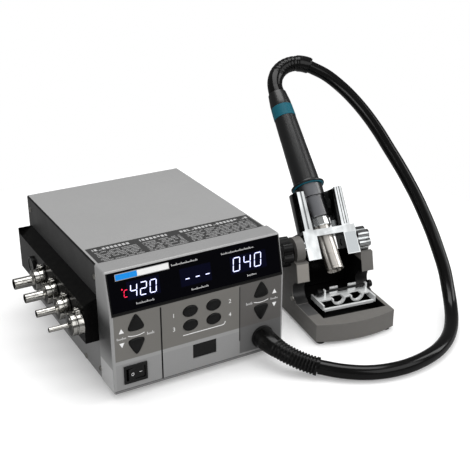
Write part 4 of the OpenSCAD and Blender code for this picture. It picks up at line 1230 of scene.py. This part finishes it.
# %% [markdown]
# ## Nozzle rack
#
# Four spare nozzles are clamped on round seats along the console's left side, and a fifth seat is free. A
# nozzle is a turned part: a split clamp collar, a second ring, a short cone and an open tube. Its section
# is spun once with the inside in the same profile, so the mouth has a real wall. The clamp's two ears and
# their screw sit on top.

# %% Nozzle
RACK_X, SEAT_Z, SEAT_Y0, SEAT_PITCH, SEATS = INSET - 15.5, 71.5, 40.0, 36.75, 5
NOZZLES = {"nozzle_10mm": (3, 10), "nozzle_8mm": (2, 8), "nozzle_6mm": (1, 6), "nozzle_3mm": (0, 3.2)}
TUBE_WALL, EAR_APART, CLAMP_AT = 0.8, 2.1, (13.0, 3.5)


def on_seat(i):
    """The place of seat i in the console's, with z out of the rack and x up."""
    return shift(RACK_X - 0.3, SEAT_Y0 + i * SEAT_PITCH, SEAT_Z) @ turn(-QUARTER, "Y")


for name, (i, bore) in NOZZLES.items():
    tube_r = bore / 2 + TUBE_WALL
    body = turned(name + "_turned", [
        (0, 9.75), (0, 11.1), (0.5, 11.6), (5.7, 11.6), (6.2, 11.1), (6.3, 10.5), (7.3, 10.5), (7.4, 10.8),
        (7.8, 11.1), (11.4, 11.1), (11.9, 10.7), (12.2, 9.4), (13.4, tube_r + 0.9), (14.0, tube_r + 0.1),
        (14.4, tube_r), (32.2, tube_r), (32.5, tube_r - 0.25), (32.5, bore / 2), (13.2, bore / 2),
        (12.4, 9.0), (7.8, 9.7), (0, 9.75)])
    cut(body, block("slit", (9, -0.8, -1), (14, 0.8, 7.2)))
    ears = [soften(block("ear", (10.6, y - 1.3, 0.9), (14.9, y + 1.3, 6.0)), 0.6)
            for y in (-EAR_APART, EAR_APART)]
    pin = rod("clamp_screw", 0.95, -4.6, 3.6, at=CLAMP_AT, axis="y", sides=20)
    top = soften(rod("clamp_head", 1.95, 3.4, 5.5, at=CLAMP_AT, axis="y", sides=24), 0.35, 2)
    rounded_shading(body, 32)
    whole = joined(name + "_turned", body, *ears, pin, top)
    settle(whole, "nozzle_steel", name, place=console @ on_seat(i), body=name)

# %% Seats
ring = turned("seat_ring", [
    (-0.3, 7.4), (-0.3, 9.6), (2.3, 9.6), (2.7, 9.2), (2.7, 7.9), (2.3, 7.5), (-0.3, 7.4)])
plug = turned("seat_plug", [
    (-0.3, 0), (-0.3, 7.6), (1.6, 7.6), (1.9, 7.2), (1.9, 3.2), (1.5, 2.9), (1.5, 0)])
seats = [on_seat(i) for i in range(SEATS)]
seat_rings = rounded_shading(repeated(ring, "seat_rings", seats), 35)
seat_plugs = rounded_shading(repeated(plug, "seat_plugs", seats), 35)
settle(seat_rings, "gloss_black", "nozzle_seats")
settle(seat_plugs, "peg_steel", slot="peg_steel")
print("rack filled:", len(NOZZLES), "nozzles and a free seat")

# %% [markdown]
# ## The stand
#
# The gun's stand is a heavy casting: a base with a bulged front and a tray, and two arms that carry the
# tilt axis. Cast and painted metal has wide soft edges, so the CAD casting's copy gets them. The arms' inner
# faces and the bites at their feet carry painted shade, nearly black, and the base's top under the left arm
# a fainter painted shadow. The left arm's front carries a painted highlight. The tray is painted nearly
# black inside, and the tip rack is a bright bent plate with some of its walls painted nearly black. The
# materials tell these places by where they are in the stand's own frame.

# %% Stand casting
ARM, STAND_W = 15, 95
tree = finish("stand_paint", (104, 102, 99), (0.34, 0.46), (1000, 0.14), mottle=0.08, dusty=0.05,
              specular=0.4)
# Painted shade between arms, in their bites and under the left arm, and a painted highlight on its front.
zones(tree, measured(tree, stand), ((ARM - 0.3, 24.5, 23.4), (STAND_W - ARM + 0.3, 93, 64), 10),
      ((13.8, 10.8, 9), (91.2, 62.2, 23.4), 10), ((0.6, 44, 51.5), (ARM - 0.6, 54, 71), 150, 146, 140),
      ((0.8, 22, 23.5), (13.6, 49, 24.6), 72), ((0.5, 40, 24.3), (ARM + 0.6, 66, 50.2), 36),
      ((STAND_W - ARM - 0.6, 40, 24.3), (STAND_W - 0.5, 66, 50.2), 12))
casting = soften(from_cad("stand_base", stand), 1.1, 3, 28, 40)
settle(casting, "stand_paint", "stand_base", place=stand)

for node, width in (("stand_bottom", 0.3), ("stand_feet", 0.9), ("stand_bolts", 0.5), ("stand_shield", 1.0),
                    ("tip_rack_rod", 0.7), ("tilt_bearing", 0.9), ("star_knob", 1.6)):
    dressed(node, width, stand, segments=3)
tree = finish("rack_plate", (240, 242, 242), (0.12, 0.2), (300, 0.02), metal=0.3, mottle=0.03)
zones(tree, measured(tree, stand), ((21, 27, 0), (24.2, 62, 23), 14), ((21, 27, 0), (38, 33.2, 17), 14),
      ((85, 27, 0), (89, 62, 22), 14))
dressed("tip_rack", 0.3, stand, "rack_plate")
print("stand:", len(casting.data.polygons), "faces in the casting")

# %% [markdown]
# ## The cradle
#
# The cradle is die-cast and chromed: two blocks on the tilt shaft, a web with the gun's hole, and two horns
# that hold the nose. It stands a little steeper than the gun, so its copy is worked on in its own frame.
# The horns' inner front edges get a wide round first, where the chrome shows its dark line, and every other
# edge then gets a narrow one. Straight dark streaks of painted reflection run up the horns, and the right
# block's front is painted greyer, as a painted reflection too.

# %% Cradle
CRADLE_STEEPER = math.radians(12.5)
HORN_INNER_X, FRONT, WEB_TOP = 17.9, -11.0, 17.5
PAINTED_REFLECTION_STREAKS = ((19.6, 20.6, 96), (22.6, 23.6, 30), (25.9, 27.2, 60), (-25.4, -23.9, 104), (-23.9, -23.4, 66),
           (-30, -28.9, 60))
upright = tilt @ turn(CRADLE_STEEPER, "X")


def on_horn_edge(e):
    a, b = (v.co for v in e.verts)
    on_front = abs(a.y - FRONT) < 0.2 and abs(b.y - FRONT) < 0.2
    inner = abs(abs(a.x - GUN_OFFSET) - HORN_INNER_X) < 0.6
    return on_front and inner and abs(a.z - b.z) > 20 and min(a.z, b.z) > WEB_TOP - 1


cradle = from_cad("cradle", upright)
round_off(cradle, on_horn_edge, 4.5, 8, clamp_overlap=True)
soften(cradle, 1.0, 4, 30, 50)
tree = finish("cradle_chrome", (220, 223, 224), (0.035, 0.09), (200, 0.006), metal=1.0, mottle=0.02)
banded("cradle_chrome", 0.05, 24, 25, 26)
# Painted reflections: dark streaks up the horns and a greyer tone on the right block's front.
zones(tree, measured(tree, upright),
      *(((left, -11.4, 19), (right, 14, 63), tone, tone + 3, tone + 4) for left, right, tone in PAINTED_REFLECTION_STREAKS),
      ((17.5, -12, -14.5), (31, -10.4, 9), 168, 172, 174))
settle(cradle, "cradle_chrome", "cradle", place=upright, body="cradle")
dressed("tilt_stubs", 0.8, tilt, segments=3)
print("cradle:", len(cradle.data.polygons), "faces")

# %% [markdown]
# ## The gun
#
# The gun's pieces come off the lathe with their whole section in one profile, inside and outside. The
# barrel is bare steel, browned by heat, with a rolled lip. A faceted nut clamps it. Above are the black
# nose with its groove, the flange with a teal ring under it, the handle, a teal band and the collar that
# the boot comes out of. The nose is glossier than the rest, and carries a painted highlight on its front.

# %% Barrel and nut
BARREL_R, SHANK_R, BORE_R = 9.6, 9.85, 8.8
NUT_LOW, NUT_HIGH, NUT_R = 20.8, 31, 11.6


def gun_piece(piece, finish_name, node, smooth=35):
    settle(rounded_shading(piece, smooth), finish_name, node, place=gun, body="gun")


barrel = turned("barrel_turned", [
    (-31, 9.0), (-31, 9.35), (-30.7, 9.6), (-29.3, 9.6), (-29.0, 9.3), (-28.4, 9.3), (-28.1, BARREL_R),
    (-13.2, BARREL_R), (-13.0, SHANK_R), (55.8, SHANK_R), (56, SHANK_R - 0.2), (56, BORE_R), (-27.5, BORE_R),
    (-27.5, 6.2), (-28.3, 6.2), (-28.3, BORE_R), (-31, 9.0)], sides=72)
gun_piece(barrel, "barrel_steel", "gun_barrel")

nut = rod("nut_turned", NUT_R, NUT_LOW, NUT_HIGH, sides=12)
cut(nut, rod("nut_bore", SHANK_R + 0.05, NUT_LOW - 2, NUT_HIGH + 2))
soften(nut, 0.6, 3, 20, 25)
finish("nut_chrome", (226, 228, 228), (0.06, 0.12), (200, 0.006), metal=0.85, mottle=0.02)
settle(nut, "nut_chrome", "barrel_nut", place=gun, body="gun")

# %% Nose
PAINTED_HIGHLIGHT_WAY = (-0.35, -0.85, 0.4)
nose = turned("nose_turned", [
    (31, 10.1), (31, 12.9), (31.5, 13.5), (32.2, 13.7), (54.4, 14.9), (54.9, 14.1), (56.0, 14.1),
    (56.5, 15.2), (57.2, 15.5), (70.4, 16.3), (71, 16.2), (71, 10.1), (31, 10.1)], sides=80)
# A painted highlight: the nose is coloured lighter where its faces turn the given way.
tree = materials["nose_plastic"].node_tree
facing = vectors(tree, "DOT_PRODUCT", coordinate(tree, "Normal"), PAINTED_HIGHLIGHT_WAY)
recoloured(tree, ranged(tree, facing, 0.72, 0.98, 0.0, 0.85, "SMOOTHSTEP"), 104, 105, 109)
gun_piece(nose, "nose_plastic", "gun_nose", 30)

# %% Handle, bands and collar
handle = turned("handle_turned", [
    (72.2, 9.2), (72.2, 18.8), (72.7, 19.5), (74.0, 19.5), (74.6, 18.8), (74.9, 17.6), (75.4, 16.2),
    (77.0, 15.3), (118, 14.15), (162.7, 12.85), (163, 12.6), (163, 9.2), (72.2, 9.2)], sides=80)
gun_piece(handle, "gun_plastic", "gun_handle")
ring = turned("teal_ring", [
    (71, 9), (71, 18.2), (71.3, 18.6), (71.9, 18.6), (72.2, 18.3), (72.2, 9), (71, 9)])
band = turned("teal_band", [
    (163, 9), (163, 12.9), (163.4, 13.2), (177.6, 12.8), (178, 12.5), (178, 9), (163, 9)])
gun_piece(joined("teal_bands", ring, band), "teal_plastic", "gun_bands")
collar = turned("collar_turned", [
    (178, 7), (178, 12.4), (178.3, 12.6), (183, 12.5), (196.6, 10.8), (197.3, 10.3), (197.5, 9.6), (197.5, 7),
    (178, 7)])
gun_piece(collar, "gun_plastic", "gun_collar")
print("gun turned:", len(settled), "pieces so far")

# %% [markdown]
# ## Inside the case and the gun
#
# The cover hides the display and key boards, the display's blocks, the main board on its posts with its
# heat sink, the transformer, and the blower with its rotor, motor and air duct. The heater's core is in the
# gun. They are square sheets, blocks and turned parts already, so each is the merged copy with its edges
# shaded, in the finish of its kind: lacquer, enamelled wire, aluminium or ceramic.

# %% Inner parts
inner = [node for node in slot_of if not frame["nodes"][node].hide_render]
for node in inner:
    dressed(node, 0, smooth=35)
print("inner parts:", ", ".join(inner))

# %% [markdown]
# ## Floor and light
#
# The floor is pale and matt and keeps a soft shadow. Its white comes from its own colour and from a little
# glow that only the camera sees, never from more light on the object. Four large soft lamps stand over it,
# in front and to both sides, at a level where a mid grey renders as a mid grey. Reflections see a dimmer
# surround than the camera does, so the lamps and the floor stand out in polished metal as bright shapes.

# %% Floor
FLOOR_SIZE, FLOOR_WHITE, FLOOR_REFLECTED, FLOOR_GLOW = 12, linear(236), linear(140), 0.2
put_down()
bpy.ops.mesh.primitive_plane_add(size=1, scale=(FLOOR_SIZE, FLOOR_SIZE, 1))
floor = newest("floor")
matt = bpy.data.materials.new("floor")
matt.use_nodes = True
tree = matt.node_tree
rays = put(tree, "ShaderNodeLightPath").outputs
for label, value in (("Base Color", mixed(tree, rays["Is Glossy Ray"], FLOOR_WHITE, FLOOR_REFLECTED)),
                     ("Roughness", 0.9), ("Emission Color", (1, 1, 1, 1)),
                     ("Emission Strength", calc(tree, "MULTIPLY", rays["Is Camera Ray"], FLOOR_GLOW))):
    fill(tree, tree.nodes["Principled BSDF"].inputs[label], value)
floor.data.materials.append(matt)
floor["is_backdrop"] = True

# %% Lamps and world
AIM = Vector((0, 0, 0.08))
LAMPS = (("lamp_over", (0.1, 0.25, 1.9), (1.6, 1.2), 20), ("lamp_right", (1.6, -0.5, 1.0), (0.5, 1.2), 6),
         ("lamp_front", (0.56, -1.4, 1.05), (1.7, 1.2), 8.5), ("lamp_left", (-1.5, -0.9, 0.7), (0.5, 1.1), 5))
SKY_MATT, SKY_REFLECTED = 0.62, 0.16
for name, place, size, watts in LAMPS:
    data = bpy.data.lights.new(name, "AREA")
    data.shape = "RECTANGLE"
    data.size, data.size_y = size
    data.energy = watts
    lamp = shown(name, data)
    lamp.location = place
    lamp.rotation_euler = (AIM - Vector(place)).to_track_quat("-Z", "Y").to_euler()

world = bpy.data.worlds.new("studio")
bpy.context.scene.world = world
world.use_nodes = True
sky = world.node_tree
rays = put(sky, "ShaderNodeLightPath").outputs
unseen = ranged(sky, rays["Is Glossy Ray"], 0.0, 1.0, SKY_MATT, SKY_REFLECTED)
sky.nodes["Background"].inputs["Color"].default_value = (1, 1, 1, 1)
fill(sky, sky.nodes["Background"].inputs["Strength"], calc(sky, "MAXIMUM", rays["Is Camera Ray"], unseen))
print("floor,", len(LAMPS), "lamps and a white surround")

# %% [markdown]
# ## The size, and the pieces settled
#
# Dressing must not grow the object. The CAD box from the start and the box of everything shown now are
# printed side by side, and the last line counts the pieces settled.

# %% Sizes and the count of pieces
dressed_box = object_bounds()
for side, cad, now in zip("xyz", zip(*cad_box), zip(*dressed_box)):
    print(side, "CAD", [round(v, 4) for v in cad], "dressed", [round(v, 4) for v in now])
print(len(settled), "pieces settled")
